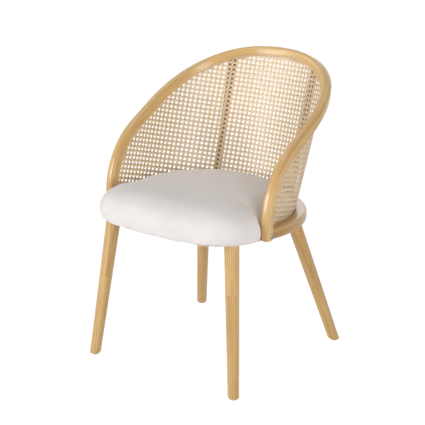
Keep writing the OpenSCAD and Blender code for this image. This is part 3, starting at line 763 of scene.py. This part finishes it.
# %% [markdown]
# ## Over and under
# Each strand goes over and under in turn. A strand is a line through its crossings, raised
# where it passes over and lowered where it passes under. The two strands of a pair take
# turns, so that the diagonals run between them. A tile that is repeated would be quicker,
# but each strand has to end exactly in the groove or in the hoop's rebate.

# %% Draw the strands
PAIR, HALF_CELL = 0.128, 0.5
CROSS = HALF_CELL - PAIR
LOW, HIGH = 0.0003, 0.0006
COLUMNS, ROWS, DIAGONALS = (-38, 30), (-27, 15), (-66, 60)


def strand_lines():
    """Yields each strand's direction name, its crossings in cells and their heights."""
    spots = np.array([-CROSS, -PAIR, PAIR, CROSS])
    rows = (np.arange(*ROWS)[:, None] + HALF_CELL + spots).ravel()
    columns = (np.arange(*COLUMNS)[:, None] + HALF_CELL + spots).ravel()
    for side, wave in ((-PAIR, (1, -1, 1, -1)), (PAIR, (-1, 1, -1, 1))):
        for column in range(*COLUMNS):
            line = np.stack([np.full(rows.size, column + HALF_CELL + side), rows], 1)
            yield "up", line, np.tile(wave, rows.size // 4) * LOW
        for row in range(*ROWS):
            line = np.stack([columns, np.full(columns.size, row + HALF_CELL + side)], 1)
            yield "across", line, np.tile(wave, columns.size // 4) * -LOW
    spots = np.array([-PAIR, PAIR, CROSS, 1 - CROSS])
    columns = (np.arange(*COLUMNS)[:, None] + HALF_CELL + spots).ravel()
    height = np.tile((1, 1, -1, -1), columns.size // 4) * HIGH
    for offset in range(*DIAGONALS):
        yield "rising", np.stack([columns, columns - offset - HALF_CELL], 1), height
        yield "falling", np.stack([columns, offset + HALF_CELL - columns], 1), -height


print("strands before they are cut:", sum(1 for _ in strand_lines()))

# %% [markdown]
# ## Cut to the panel
# The webbing is cut to shape once it is in place. Here each strand is followed until it leaves
# the panel, and the last stretch is halved twelve times to find the spot on the edge.

# %% Cut the strands at the panel's edges
def cut_to_panel(line, height):
    """Splits a strand where it leaves the panel, with its ends on the panel's edges."""
    flat = cell_to_flat(line)
    inside = on_panel(flat)
    pieces, run = [], []
    for i in range(len(flat)):
        if i and inside[i] != inside[i - 1]:
            a, b = flat[i - 1], flat[i]
            for _ in range(12):
                middle = (a + b) / 2
                if on_panel(middle[None])[0] == inside[i - 1]:
                    a = middle
                else:
                    b = middle
            run.append((*(a if inside[i - 1] else b), 0.0))
            if not inside[i]:
                pieces.append(run)
                run = []
        if inside[i]:
            run.append((*flat[i], height[i]))
    return [np.array(piece) for piece in pieces if len(piece) > 2]


strands = {"up": [], "across": [], "rising": [], "falling": []}
for way, line, height in strand_lines():
    strands[way] += cut_to_panel(line, height)
print("strands:", {way: len(lines) for way, lines in strands.items()})

# %% [markdown]
# ## Sweeping the strands
# A strand is a flat strip, nearly 3 mm wide and 0.6 mm thick. All strands of one direction
# become one curve object, and a flat outline with six sides is swept along them. This happens
# on the flat pattern, where up is the same for every strand, so that none of them twists.

# %% Sweep a flat outline along the strands
THICK = 0.0006
WIDTHS = {"up": 0.0029, "across": 0.0029, "rising": 0.0027, "falling": 0.0027}


def strand_section(width):
    deselect()
    bpy.ops.mesh.primitive_circle_add(vertices=6, radius=1, fill_type="NOTHING")
    ring = bpy.context.object
    ring.scale = (width / 2, THICK / 2 / math.cos(math.radians(30)), 1)
    freeze(ring)
    bpy.ops.object.convert(target="CURVE")
    return bpy.context.object


def sweep(way):
    drawing = bpy.data.curves.new("cane_" + way, "CURVE")
    drawing.dimensions, drawing.twist_mode = "3D", "Z_UP"
    for line in strands[way]:
        spline = drawing.splines.new("POLY")
        spline.points.add(len(line) - 1)
        spline.points.foreach_set("co", np.column_stack([line, np.ones(len(line))]).ravel())
    ring = strand_section(WIDTHS[way])
    drawing.bevel_mode, drawing.bevel_object, drawing.use_fill_caps = "OBJECT", ring, True
    piece = bpy.data.objects.new("cane_" + way, drawing)
    bpy.context.scene.collection.objects.link(piece)
    take(piece)
    bpy.ops.object.convert(target="MESH")
    piece = bpy.context.object
    bpy.data.objects.remove(ring)
    return piece


canes = [sweep(way) for way in strands]
print("swept:", [piece.name for piece in canes])

# %% [markdown]
# ## What a strand knows
# Two strands of cane never have quite the same tone, and the fibres run lengthwise. So each
# vertex is given three facts for the finish: how far along the strand it lies, a random
# number that all of the strand shares, and its place across the strand, from -1 to 1.

# %% Work out the three facts
CELL = 0.01259


def strand_marks(way, flat, seed):
    column, row = flat_to_cell(flat)
    spot = {"up": column, "across": row, "rising": column - row, "falling": column + row}[way]
    paired = way in ("up", "across")
    number = np.floor(2 * spot if paired else spot)
    middle = (number + 1) / 2 - PAIR * (-1) ** number if paired else number + HALF_CELL
    side = (spot - middle) * 2 * CELL / WIDTHS[way] / (1 if paired else math.sqrt(2))
    tint = np.random.default_rng(seed).random(300)[number.astype(int)]
    return np.column_stack([flat[:, 1] if way == "up" else flat[:, 0], tint, side])


print("facts of the hole (0, 0):", strand_marks("up", cell_to_flat(np.zeros((1, 2))), 1)[0])

# %% [markdown]
# ## On to the shell
# Now every vertex is moved from the flat pattern to its place on the shell. The pattern shows
# the shell from the other side, as in a mirror, so the faces come out inside out, and are
# flipped once.

# %% Wrap the weave
def spots_of(mesh):
    flat = np.empty(len(mesh.vertices) * 3)
    mesh.vertices.foreach_get("co", flat)
    return flat.reshape(-1, 3)


def on_all(piece, step, **settings):
    """Does one step of modelling on the whole mesh of a piece."""
    take(piece)
    bpy.ops.object.mode_set(mode="EDIT")
    bpy.ops.mesh.select_all(action="SELECT")
    step(**settings)
    bpy.ops.object.mode_set(mode="OBJECT")


for seed, (way, piece) in enumerate(zip(strands, canes), 1):
    on_all(piece, bpy.ops.mesh.remove_doubles, threshold=1e-6)
    mesh = piece.data
    flat = spots_of(mesh)
    mesh.vertices.foreach_set("co", wrap(flat[:, :2], flat[:, 2]).ravel())
    on_all(piece, bpy.ops.mesh.flip_normals)
    layer = mesh.attributes.new("strand", "FLOAT_VECTOR", "POINT")
    layer.data.foreach_set("vector", strand_marks(way, flat, seed).ravel())
    mesh.update()
    smooth(piece, 80)
    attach(piece, "root")
    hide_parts("cane_panel")
    print(piece.name, "has", len(strands[way]), "strands and",
          sum(len(p.vertices) - 2 for p in mesh.polygons), "triangles")

# %% [markdown]
# ## The seat pad
# The pad is a block of foam on a board, under a cloth cover that is pulled over the front
# rail and fixed below. Its outline from above is round behind the posts and square in front,
# where it also widens, because there the posts no longer hold it in.

# %% Draw the pad's outline
PAD_R, PAD_HALF, PAD_FRONT, PAD_SQUARE = 0.2289, 0.249, 0.216, 3.4
PAD_CENTRE = -0.010
WIDER_Y, WIDER_RUN = 0.0870, 0.006
SIDES = 240


def pad_outline(angle):
    c, s = math.cos(angle), math.sin(angle)
    if s >= 0:
        return PAD_R * c, PAD_R * s
    y = -PAD_FRONT * (-s) ** (2 / PAD_SQUARE)
    t = min(1, max(0, (-y - WIDER_Y) / WIDER_RUN))
    half = PAD_R + (PAD_HALF - PAD_R) * (1 - (1 - t) ** 2)
    return math.copysign(half * abs(c) ** (2 / PAD_SQUARE), c), y


print("pad's left front corner:", [round(c, 3) for c in pad_outline(math.radians(225))])

# %% [markdown]
# ## The crown and the lower lip
# A good seat is fuller in the middle than at its edges. The outline is pulled up in rings that
# close towards the crown, each as high as a squared-off arch at that spot. Below its widest
# part it is pulled down round a quarter turn, where the cloth runs under the frame.

# %% Raise the crown and turn the lip
WAIST_Z, CROWN, FLAT = 0.3985, 0.0605, 7.4
CROWN_RINGS = [0.9985, 0.993, 0.983, 0.97, 0.945, 0.92, 0.86, 0.8, 0.7, 0.55, 0.35, 0.15]
LIP_Z, LIP_IN, LIP_R = 0.3765, 0.009, 0.23
INSET = 0.001  # the pad starts this much too small, because it swells later


def ring_to(piece, below, lift, size):
    """Pulls the lowest or highest ring on by one step, and makes it smaller."""
    levels = [v.co.z for v in bmesh.from_edit_mesh(piece.data).verts]
    edge = min(levels) if below else max(levels)
    choose(lambda p: abs(p.z - edge) < 1e-6)
    bpy.ops.mesh.extrude_region_move(TRANSFORM_OT_translate={"value": (0, 0, lift)})
    bpy.ops.transform.resize(value=(size, size, 1), center_override=(0, PAD_CENTRE, 0),
                             orient_type="GLOBAL")


def pad_shape(name, inset):
    deselect()
    bpy.ops.mesh.primitive_circle_add(vertices=SIDES, radius=1, fill_type="NOTHING")
    piece = name_last(name)
    for i, v in enumerate(piece.data.vertices):
        x, y = pad_outline(2 * math.pi * (i + 0.5) / SIDES)
        reach = math.hypot(x, y - PAD_CENTRE)
        keep = (reach - inset) / reach
        v.co = (x * keep, PAD_CENTRE + (y - PAD_CENTRE) * keep, WAIST_Z)
    bpy.ops.object.mode_set(mode="EDIT")
    crown = CROWN - inset
    last, level = 1.0, 0.0
    for share in CROWN_RINGS:
        rise_to = crown * math.sqrt(1 - share ** FLAT)
        ring_to(piece, False, rise_to - level, share / last)
        last, level = share, rise_to
    choose(lambda p: abs(p.z - WAIST_Z - level) < 1e-6)
    bpy.ops.mesh.edge_face_add()
    drop, last, level = WAIST_Z - LIP_Z, 1.0, 0.0
    for degrees in range(15, 91, 15):
        turn = math.radians(degrees)
        size = 1 - LIP_IN * (1 - math.cos(turn)) / LIP_R
        ring_to(piece, True, level - drop * math.sin(turn), size / last)
        last, level = size, drop * math.sin(turn)
    choose(lambda p: abs(p.z - WAIST_Z + level) < 1e-6)
    bpy.ops.mesh.edge_face_add()
    bpy.ops.mesh.select_all(action="SELECT")
    bpy.ops.mesh.normals_make_consistent(inside=False)
    bpy.ops.object.mode_set(mode="OBJECT")
    return piece


cushion = pad_shape("cushion", INSET)
print("pad before it swells:", [round(c, 3) for c in cushion.dimensions])

# %% [markdown]
# ## Room for the wood
# The real cover lies tight on the frame, so the pad has to be hollow where the wood is. The
# shapes to take out are blocks with a rounded plan. A block starts as a cube, and only its
# upright edges are bevelled, the front pair by the corner's radius and, for a round back, the
# rear pair by half of the width.

# %% Make blocks with a rounded plan
GAP = 0.0003
SIDE_X, FRONT_Y, FRAME_CORNER = 0.2329, 0.200, 0.125
BOARD_R, BOARD_FRONT, BOARD_CORNER, BOARD_T = 0.2209, 0.205, 0.119, 0.010


def plan_block(name, half, back, front, corner, low, high, round_back=False):
    """A block with two rounded front corners, and a round back where it is asked for."""
    deselect()
    bpy.ops.mesh.primitive_cube_add(size=1)
    block = name_last(name)
    middle = (back - front) / 2
    block.scale = (2 * half, back + front, high - low)
    block.location = (0, middle, (low + high) / 2)
    freeze(block)
    bpy.ops.object.mode_set(mode="EDIT")
    for rule, radius in ((lambda p: p.y < middle, corner),
                         (lambda p: p.y > middle, half if round_back else 0)):
        if not radius:
            continue
        bpy.ops.mesh.select_mode(type="EDGE")
        bpy.ops.mesh.select_all(action="DESELECT")
        work = bmesh.from_edit_mesh(block.data)
        for edge in work.edges:
            a, b = edge.verts
            if (a.co.xy - b.co.xy).length < 1e-6 and rule(a.co):
                edge.select_set(True)
        bmesh.update_edit_mesh(block.data)
        bpy.ops.mesh.bevel(offset=radius - 1e-5, segments=24, affect="EDGES", profile=0.5)
    bpy.ops.object.mode_set(mode="OBJECT")
    return block


rooms = [
    plan_block("front_room", SIDE_X + GAP, 0.01, FRONT_Y + GAP, FRAME_CORNER + GAP, 0.3,
               FRAME_TOP + GAP),
    plan_block("back_room", 0.6, 0.6, 0.062, 0, 0.3, FRAME_TOP + GAP),
    plan_block("board_room", BOARD_R + GAP, BOARD_R, BOARD_FRONT + GAP, BOARD_CORNER, 0.39,
               FRAME_TOP + BOARD_T + GAP, round_back=True),
]
print("blocks:", [room.name for room in rooms])

# %% [markdown]
# ## Hollowing the pad
# The pad rests on three things: the frame's outline in front, everything under the frame's
# top behind the posts, and the seat board. A boolean modifier takes each of these shapes out,
# with a hair's breadth to spare, so that cloth and wood don't cut into each other.

# %% Hollow the pad where it rests
def take_out(piece, *tools):
    take(piece)
    for tool in tools:
        cut = piece.modifiers.new("cut", "BOOLEAN")
        cut.operation, cut.object, cut.solver = "DIFFERENCE", tool, "EXACT"
        bpy.ops.object.modifier_apply(modifier=cut.name)
    for tool in tools:
        bpy.data.objects.remove(tool)


take_out(cushion, *rooms)
print("hollowed pad:", len(cushion.data.polygons), "faces")

# %% [markdown]
# ## An even net
# Cloth can only move where it has vertices, and it moves alike everywhere only if they are
# spread evenly. So the pad is remeshed into a net with one vertex every 5 mm. Then the
# vertices that lie on wood are found, because the real cover is held there.

# %% Divide the pad into an even net
def over_plan(spots, half, front, corner, back):
    """True where a spot lies over a plan with two rounded front corners."""
    x = np.maximum(np.abs(spots[:, 0]) - (half - corner), 0)
    y = np.maximum(-spots[:, 1] - (front - corner), 0)
    ahead = (spots[:, 1] < 0) & (np.hypot(x, y) < corner)
    return ahead | ((spots[:, 1] >= 0) & (np.hypot(spots[:, 0], spots[:, 1]) < back))


def on_wood(spots, near=0.0012):
    z = spots[:, 2]
    frame_part = over_plan(spots, SIDE_X + near, FRONT_Y + near, FRAME_CORNER + near, 1.0)
    board_part = over_plan(spots, BOARD_R + near, BOARD_FRONT + near, BOARD_CORNER + near,
                           BOARD_R + near)
    return (frame_part & (z < FRAME_TOP + near)) | (board_part & (z < FRAME_TOP + BOARD_T + near))


take(cushion)
cushion.data.remesh_voxel_size = 0.005
bpy.ops.object.voxel_remesh()
on_all(cushion, bpy.ops.mesh.vertices_smooth, factor=0.5, repeat=3)
held = on_wood(spots_of(cushion.data))
print("vertices:", len(held), "of which", held.sum(), "lie on wood")

# %% [markdown]
# ## Cloth under pressure
# A stuffed cover is cloth with something pushing from inside. A cloth simulation blows the pad
# up where it isn't held. How far the cloth really swells depends on foam that isn't modelled,
# so the movement is capped at a few millimetres and spread over the neighbours. The result is
# kept as a plain mesh, so the simulation runs only here.

# %% Blow the pad up and keep the result
CLOTH = {"quality": 6, "mass": 0.3, "air_damping": 1.0, "tension_stiffness": 20,
         "compression_stiffness": 20, "shear_stiffness": 8, "bending_stiffness": 0.8,
         "use_pressure": True, "uniform_pressure_force": 4.0, "vertex_group_mass": "held"}
CLOTH_STEPS, SWELL, ROUNDS = 20, 0.003, 12


def evened(mesh, move):
    """Spreads the movement of each vertex over its neighbours."""
    ends = np.empty(len(mesh.edges) * 2, int)
    mesh.edges.foreach_get("vertices", ends)
    a, b = ends[::2], ends[1::2]
    size = len(move)
    count = np.bincount(ends, minlength=size)[:, None]
    for _ in range(ROUNDS):
        total = np.stack([np.bincount(a, move[b, k], size) + np.bincount(b, move[a, k], size)
                          for k in range(3)], 1)
        move = 0.5 * move + 0.5 * total / count
    return move


def blow_up(piece):
    start = spots_of(piece.data)
    group = piece.vertex_groups.new(name="held")
    group.add([int(i) for i in np.flatnonzero(held)], 1.0, "REPLACE")
    cloth = piece.modifiers.new("cloth", "CLOTH")
    for key, value in CLOTH.items():
        setattr(cloth.settings, key, value)
    cloth.settings.effector_weights.gravity = 0
    take(piece)
    for step in range(1, CLOTH_STEPS + 1):
        bpy.context.scene.frame_set(step)
    bpy.ops.object.modifier_apply(modifier=cloth.name)
    bpy.context.scene.frame_set(1)
    move = spots_of(piece.data) - start
    reach = np.linalg.norm(move, axis=1, keepdims=True)
    move = evened(piece.data, move * np.minimum(1, SWELL / np.maximum(reach, 1e-9)))
    move[held] = 0
    piece.data.vertices.foreach_set("co", (start + move).ravel())
    piece.data.update()
    piece.vertex_groups.clear()
    return reach.max()


moved = blow_up(cushion)
print("the cloth moved by up to", round(float(moved) * 1000, 1), "mm before the cap")
print("pad after the cap:", [round(float(c), 3) for c in np.ptp(spots_of(cushion.data), axis=0)])

# %% [markdown]
# ## A softer lip
# The lip that runs under the frame comes out of the boolean with a hard edge. Cloth over foam
# has none, so the lowest vertices are smoothed, and the whole net is divided once more.

# %% Smooth the lip and refine the net
LIP_TOP = 0.389
take(cushion)
bpy.ops.object.mode_set(mode="EDIT")
lip = choose(lambda p: p.z < LIP_TOP)
bpy.ops.mesh.vertices_smooth(factor=0.5, repeat=10)
bpy.ops.object.mode_set(mode="OBJECT")
print("smoothed", lip, "vertices of the lower lip")
finer = cushion.modifiers.new("finer", "SUBSURF")
finer.levels = finer.render_levels = 1
bpy.ops.object.modifier_apply(modifier=finer.name)
print("cushion:", len(cushion.data.polygons), "faces,", [round(c, 3) for c in cushion.dimensions])

# %% [markdown]
# ## The hem
# Under the frame the cover is turned in and fixed, as a band 22 mm wide that leaves room for
# the two front legs. It is cut as a thin plate with the frame's outline, hollowed by a smaller
# one, and joined to the pad, because on the real chair it is the same cloth. Both ends of
# each leg are written down here, as places on the floor plan.

# %% Cut the hem and join it to the pad
LEG_ENDS = {"front": ((0.185913, -0.135950), (0.225813, -0.180050)),
            "rear": ((0.138211, 0.178180), (0.226411, 0.280080))}
LEG_ROOM = {"vertices": 48, "radius": 0.0215, "depth": 0.02}
HEM_END, HEM_WIDE, HEM_LOW, HEM_MID, HEM_HIGH = -0.062, 0.022, 0.3785, 0.379, 0.3797
hem = plan_block("hem", SIDE_X - GAP, HEM_END, FRONT_Y, FRAME_CORNER, HEM_LOW, HEM_HIGH)
holes = [plan_block("hem_room", SIDE_X - HEM_WIDE, 0.0, FRONT_Y - HEM_WIDE,
                    FRAME_CORNER - HEM_WIDE, 0.37, 0.39)]
x, y = LEG_ENDS["front"][0]
for side in (1, -1):
    deselect()
    bpy.ops.mesh.primitive_cylinder_add(location=(side * x, y, HEM_MID), **LEG_ROOM)
    holes.append(freeze(name_last("leg_room")))
take_out(hem, *holes)
print("hem:", len(hem.data.polygons), "faces")
take(hem, cushion)
bpy.ops.object.join()

# %% [markdown]
# ## The lamps
# A soft key light stands left of the camera, a fill that is nearly as strong on the right, and
# a weak lamp behind the chair. A long narrow lamp overhead draws the highlight along the
# rounded wood. All are large, as in a photographer's studio, so that shadows stay soft.

# %% Place the lamps
def lamp(name, place, aim, size, power):
    deselect()
    bpy.ops.object.light_add(type="AREA", location=place)
    light = bpy.context.object
    light.name = name
    light.rotation_euler = (Vector(aim) - Vector(place)).to_track_quat("-Z", "Y").to_euler()
    light.data.shape, light.data.size, light.data.size_y = "RECTANGLE", size[0], size[1]
    light.data.energy = power
    return light


lamps = [
    lamp("key", (-1.6, -2.5, 1.2), (0, 0, 0.45), (0.9, 1.2), 46),
    lamp("fill", (2.6, -1.6, 1.1), (0, 0, 0.45), (1.2, 1.4), 40),
    lamp("strip", (-0.3, -0.5, 2.8), (0, 0.1, 0.6), (3.0, 0.15), 9.5),
    lamp("back", (-1.2, 2.8, 1.5), (0, 0, 0.4), (2.4, 1.2), 14),
]
print("lamps:", {light.name: light.data.energy for light in lamps})

# %% [markdown]
# ## The room around the chair
# The chair stands in front of plain white. Real white surroundings would throw so much light
# on the wood that its colour would wash out. So the world is bright white only for what the
# camera sees, directly or in a reflection, and gives a much weaker soft light to surfaces.

# %% Light the world
SEEN_BY = ("Is Camera Ray", "Is Glossy Ray", "Is Transmission Ray")
world = bpy.context.scene.world or bpy.data.worlds.new("studio")
bpy.context.scene.world = world
world.use_nodes = True
sky = world.node_tree
sky.nodes.clear()


def background(colour, strength):
    made = sky.nodes.new("ShaderNodeBackground")
    made.inputs["Color"].default_value = (*colour, 1)
    made.inputs["Strength"].default_value = strength
    return made.outputs[0]


ray = sky.nodes.new("ShaderNodeLightPath").outputs
two, three = sky.nodes.new("ShaderNodeMath"), sky.nodes.new("ShaderNodeMath")
two.operation = three.operation = "ADD"
seen = sky.nodes.new("ShaderNodeMixShader")
out = sky.nodes.new("ShaderNodeOutputWorld")
for source, target in (
    (ray[SEEN_BY[0]], two.inputs[0]),
    (ray[SEEN_BY[1]], two.inputs[1]),
    (two.outputs[0], three.inputs[0]),
    (ray[SEEN_BY[2]], three.inputs[1]),
    (three.outputs[0], seen.inputs[0]),
    (background((0.95, 0.97, 1.0), 0.26), seen.inputs[1]),
    (background((1, 1, 1), 1.0), seen.inputs[2]),
    (seen.outputs[0], out.inputs[0]),
):
    sky.links.new(source, target)
print("world nodes:", len(sky.nodes))

# %% [markdown]
# ## The floor
# The floor is treated in the same way. For the camera it is a white glow with a little
# diffuse shade added, so that it runs into the white behind without an edge. For the light
# that bounces up on the wood it is plain light grey paint.

# %% Lay the floor
deselect()
bpy.ops.mesh.primitive_plane_add(size=14)
floor = name_last("floor")
studio = Finish("floor_paint", Base_Color=(0.86, 0.86, 0.86, 1), Roughness=0.7)
glow = studio.node("Emission", {"Color": (1, 1, 1, 1), "Strength": 0.93})
shade = studio.node("BsdfDiffuse", {"Color": (0.3, 0.3, 0.3, 1)})
bright = studio.node("AddShader", {0: glow, 1: shade})
rays = studio.node("LightPath", {}).socket.node.outputs
eye, mirror, glass = (Signal(studio, rays[name]) for name in SEEN_BY)
painted = Signal(studio, studio.shader.outputs[0])
shown = studio.node("MixShader", {0: eye + mirror + glass, 1: painted, 2: bright})
studio.tree.links.new(shown.socket, studio.output.inputs[0])
floor.data.materials.append(studio.material)
print("floor laid,", len(studio.tree.nodes), "nodes in its paint")

# %% [markdown]
# ## Wood on the legs and slats
# The legs, the seat frame and the slats already have their true shape, so they only get a
# finish. A leg is turned from one stick, glued up from a few boards, so its grain runs along
# its own axis. Each leg starts its boards at another place, because no two legs are alike.
# The slats sit close behind the cane, where little light reaches them, so their wood is
# painted a darker brown: painted shade.

# %% Dress the legs, the slats and the dowels
def place_of(x, y, z):
    return x, y + SEAT_Y, z


BOARDS = {"front_left": (0.61, 0.10), "front_right": (0.31, 0.052),
          "rear_left": (0.44, 0.21), "rear_right": (0.53, 0.16)}
# painted shade: darker brown for the slats, which lie in shadow behind the cane
SLAT_SHADE_TONES = [srgb(112, 72, 34), srgb(130, 86, 44), srgb(148, 102, 56)]
upright = along_axis((0, 0, 0), (0, 0, 1))
for end, (top, foot) in LEG_ENDS.items():
    for side, sign in (("left", -1), ("right", 1)):
        leg = f"leg_{end}_{side}"
        aim = along_axis(place_of(sign * foot[0], foot[1], 0),
                         place_of(sign * top[0], top[1], FRAME_Z))
        board, first = BOARDS[f"{end}_{side}"]
        dress(leg, wood(leg + "_wood", aim, board=board, start=first))
for side in ("left", "right"):
    dress("upright_" + side, wood("slat_wood_" + side, upright, SLAT_SHADE_TONES))
dress("upright_dowels", wood("dowel_wood", upright, PALE))
print("dressed", len(BOARDS), "legs, 2 slats and their dowels")

# %% [markdown]
# ## Wood on the seat frame
# The frame is glued up from curved boards, so its grain turns with the ring: the angle round
# the seat, times the radius, stands in for the length of the board. Where the cane goes into
# its groove, the real frame shows a thin dark line of shadow. The groove is too narrow for
# light to draw that line by itself, so it is painted shade: a dark band at one distance from
# the seat's centre.

# %% Dress the seat frame
RING = [srgb(170, 116, 52), srgb(206, 158, 90), srgb(234, 194, 130)]
LINE_R, LINE_CORE, LINE_EDGE = FOOT_R + 0.0020, 0.0014, 0.0026


def round_the_seat(f):
    """How far round the seat, how far from its centre, and how high."""
    x, y, z = f.parts(f.spot())
    y = y - SEAT_Y
    turn = f.node("Math", {0: x, 1: y}, operation="ARCTAN2")
    return f.node("CombineXYZ", {0: turn * FOOT_R, 1: (x * x + y * y) ** 0.5, 2: z})


def groove_shade_line(f):
    # painted shade: a dark band along the groove, for the shadow where the cane goes in
    away = abs(f.parts(round_the_seat(f))[1] - LINE_R)
    return f.spread(away, LINE_CORE, LINE_EDGE, 0.95, 0.0)


dress("seat_frame", wood("frame_wood", round_the_seat, RING, contrast=1.4, board=0.24,
                         painted_shade=groove_shade_line))
print("dark line at", round(LINE_R * 1000, 1), "mm from the seat's centre")

# %% [markdown]
# ## Cane
# Cane is the split skin of rattan: straw-coloured, slightly glossy, and never the same from
# one strand to the next. The finish reads the three facts that each strand carries: its own
# number shifts the tone, the distance along it stretches the fibres lengthwise, and towards
# its edges it turns brown, as painted shade for the dark crevices between strands. The spline
# is reed of the same plant, so it gets the same finish, with facts that are worked out round
# the seat.

# %% Dress the cane and its spline
STRAW = [srgb(222, 190, 144), srgb(244, 219, 180), srgb(254, 236, 205)]
FIBRE_BROWN, CREVICE_SHADE = srgb(160, 122, 76), srgb(150, 112, 70)
REED_HALF = 0.003


def straw(name, facts_of):
    f = Finish(name, Coat_Weight=0.25, Coat_Roughness=0.25)
    run, tint, across = facts_of(f)
    fibres = f.node("CombineXYZ", {0: run * 30.0, 1: tint * 40.0, 2: across * 3.0})
    fibres = f.noise(fibres, 1.0, 3.0)
    patch = f.noise(f.node("CombineXYZ", {0: run * 9.0, 1: tint * 70.0}), 1.0, 2.0)
    colour = f.blend(f.spread(tint * 0.5 + patch, 0.35, 1.15), STRAW[0], STRAW[2])
    colour = f.blend(0.45, colour, STRAW[1])
    colour = f.blend(f.spread(fibres, 0.5, 0.75, 0.0, 0.30), colour, FIBRE_BROWN)
    # painted shade: the strand's edges turn brown, for the shadow in the crevices between strands
    colour = f.blend(f.spread(abs(across), 0.6, 1.0, 0.0, 0.55), colour, CREVICE_SHADE)
    rough = f.spread(fibres, 0.3, 0.7, 0.36, 0.5)
    return f.set(Base_Color=colour, Roughness=rough, Normal=f.bump(fibres, 0.00005, 0.3))


def strand_facts(f):
    return f.parts(f.node("Attribute", {}, out="Vector", attribute_name="strand"))


def reed_facts(f):
    run, reach, _ = f.parts(round_the_seat(f))
    tint = f.node("Math", {0: run * 4.0}, operation="FLOOR") * 0.13
    return run, tint, (reach - FOOT_R) / REED_HALF


cane_finish = straw("woven_cane", strand_facts)
for piece in canes:
    piece.data.materials.clear()
    piece.data.materials.append(cane_finish)
dress("cane_spline", straw("reed", reed_facts))
print("cane tones:", [[round(c, 3) for c in tone] for tone in STRAW])

# %% [markdown]
# ## Cover cloth
# The cover is a smooth off-white cloth in a plain weave. Its threads are about a millimetre
# apart, far finer than the net of the pad, so they are a bump: one wave along each axis, each
# faded out where the surface faces along that axis, so that no rings show on the crown.

# %% Dress the pad and the dust cloth
COVER = [srgb(231, 225, 221), srgb(236, 231, 227), srgb(206, 196, 190)]
DUST = [(0.014, 0.014, 0.015), (0.022, 0.022, 0.023), (0.04, 0.04, 0.042)]


def cloth(name, tones, gap, depth, **fixed):
    f = Finish(name, **fixed)
    spot = f.spot()
    facing = f.parts(f.node("NewGeometry", {}, out="Normal"))
    threads = 0.0
    for axis, away in zip("XYZ", facing):
        wave = f.node("TexWave", {"Vector": spot, "Scale": WAVE / gap, "Distortion": 0.6,
                                  "Detail": 1.0}, wave_type="BANDS", bands_direction=axis)
        threads = wave * (1.0 - abs(away)) + threads
    slub = f.noise(spot, 900.0, 2.0)
    cloud = f.noise(spot, 14.0, 3.0)
    colour = f.blend(f.spread(cloud, 0.35, 0.65), tones[0], tones[1])
    colour = f.blend(f.spread(slub + threads * 0.3, 0.5, 1.2, 0.0, 0.22), colour, tones[2])
    return f.set(Base_Color=colour, Roughness=f.spread(slub, 0.3, 0.7, 0.86, 0.96),
                 Normal=f.bump(threads + slub * 0.6, depth, 0.35))


cushion.data.materials.clear()
cushion.data.materials.append(cloth("cover_cloth", COVER, 0.0009, 0.0002, Sheen_Weight=0.25,
                                    Sheen_Roughness=0.5))
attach(cushion, "root")
cushion.data.transform(Matrix.Translation((0, SEAT_Y, 0)))
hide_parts("seat_cover", "seat_foam")
smooth(cushion, 50)
dress("dust_cloth", cloth("dust_cloth", DUST, 0.0016, 0.0001))
print("cushion:", [round(c, 3) for c in cushion.dimensions], "in cover cloth")

# %% [markdown]
# ## Plywood
# The seat board is plywood: thin sheets of wood, glued with their grain crosswise, because
# that keeps a board from warping. On its edge every second layer is end grain, and looks
# darker. So the height, folded every 2 mm, picks the layer.

# %% Dress the seat board
PLY, PLY_BROWN = 0.002, srgb(150, 112, 70)


def plywood():
    f = Finish("board_plywood", Coat_Weight=0.0)
    spot = f.spot()
    layer = f.node("Math", {0: (f.parts(spot)[2] - FRAME_TOP) / PLY}, operation="PINGPONG")
    long = f.noise(f.stretch(spot, (6.0, 160.0, 60.0)), 1.0, 4.0, 0.6)
    colour = f.blend(f.spread(long, 0.35, 0.7), srgb(226, 198, 152), srgb(192, 156, 108))
    colour = f.blend(f.spread(layer, 0.55, 0.9, 0.0, 0.5), colour, PLY_BROWN)
    return f.set(Base_Color=colour, Roughness=f.spread(long, 0.3, 0.7, 0.6, 0.75))


dress("seat_board", plywood())
print("layers in the board:", round(BOARD_T / PLY))

# %% [markdown]
# ## Glides and fasteners
# The glides are light grey nylon. Bolts, nuts and screws are zinc-plated steel, and the
# threaded inserts are brass. The bolt heads on the posts get a darker copy of the steel:
# painted shade, for the dark ring seen round each head. Even small metal parts aren't
# one flat tone: fine scratches make the gloss uneven.

# %% Dress the small parts
METALS = {
    "zinc_steel": ((0.66, 0.67, 0.68), (0.5, 0.5, 0.51), (0.24, 0.42)),
    # painted shade: a darker copy of the zinc steel, for the bolt heads on the posts
    "bolt_steel": ((0.4, 0.4, 0.41), (0.22, 0.22, 0.23), (0.3, 0.45)),
    "insert_brass": ((0.78, 0.6, 0.3), (0.62, 0.46, 0.2), (0.26, 0.45)),
}


def worn(name, light, dark, rough, bump, scale, **fixed):
    f = Finish(name, **fixed)
    scratch = f.noise(f.stretch(f.spot(), (scale, scale * 0.12, scale)), 1.0, 4.0, 0.65)
    return f.set(Base_Color=f.blend(f.spread(scratch, 0.4, 0.65), dark, light),
                 Roughness=f.spread(scratch, 0.3, 0.7, rough[0], rough[1]),
                 Normal=f.bump(scratch, bump, 0.2))


steel, bolt, brass = (worn(name, *tones, 0.00003, 900.0, Metallic=1.0)
                      for name, tones in METALS.items())
nylon = worn("glide_nylon", srgb(206, 206, 202), srgb(190, 190, 186), (0.42, 0.6), 0.00005, 400.0)
SMALL_PARTS = {"leg_bolts": steel, "post_barrel_nuts": steel, "board_screws": steel,
               "post_bolts": bolt, "leg_inserts": brass}
for node, finish in SMALL_PARTS.items():
    dress(node, finish)
for corner in BOARDS:
    dress("glide_" + corner, nylon)
print("dressed", len(BOARDS), "glides and", list(SMALL_PARTS))
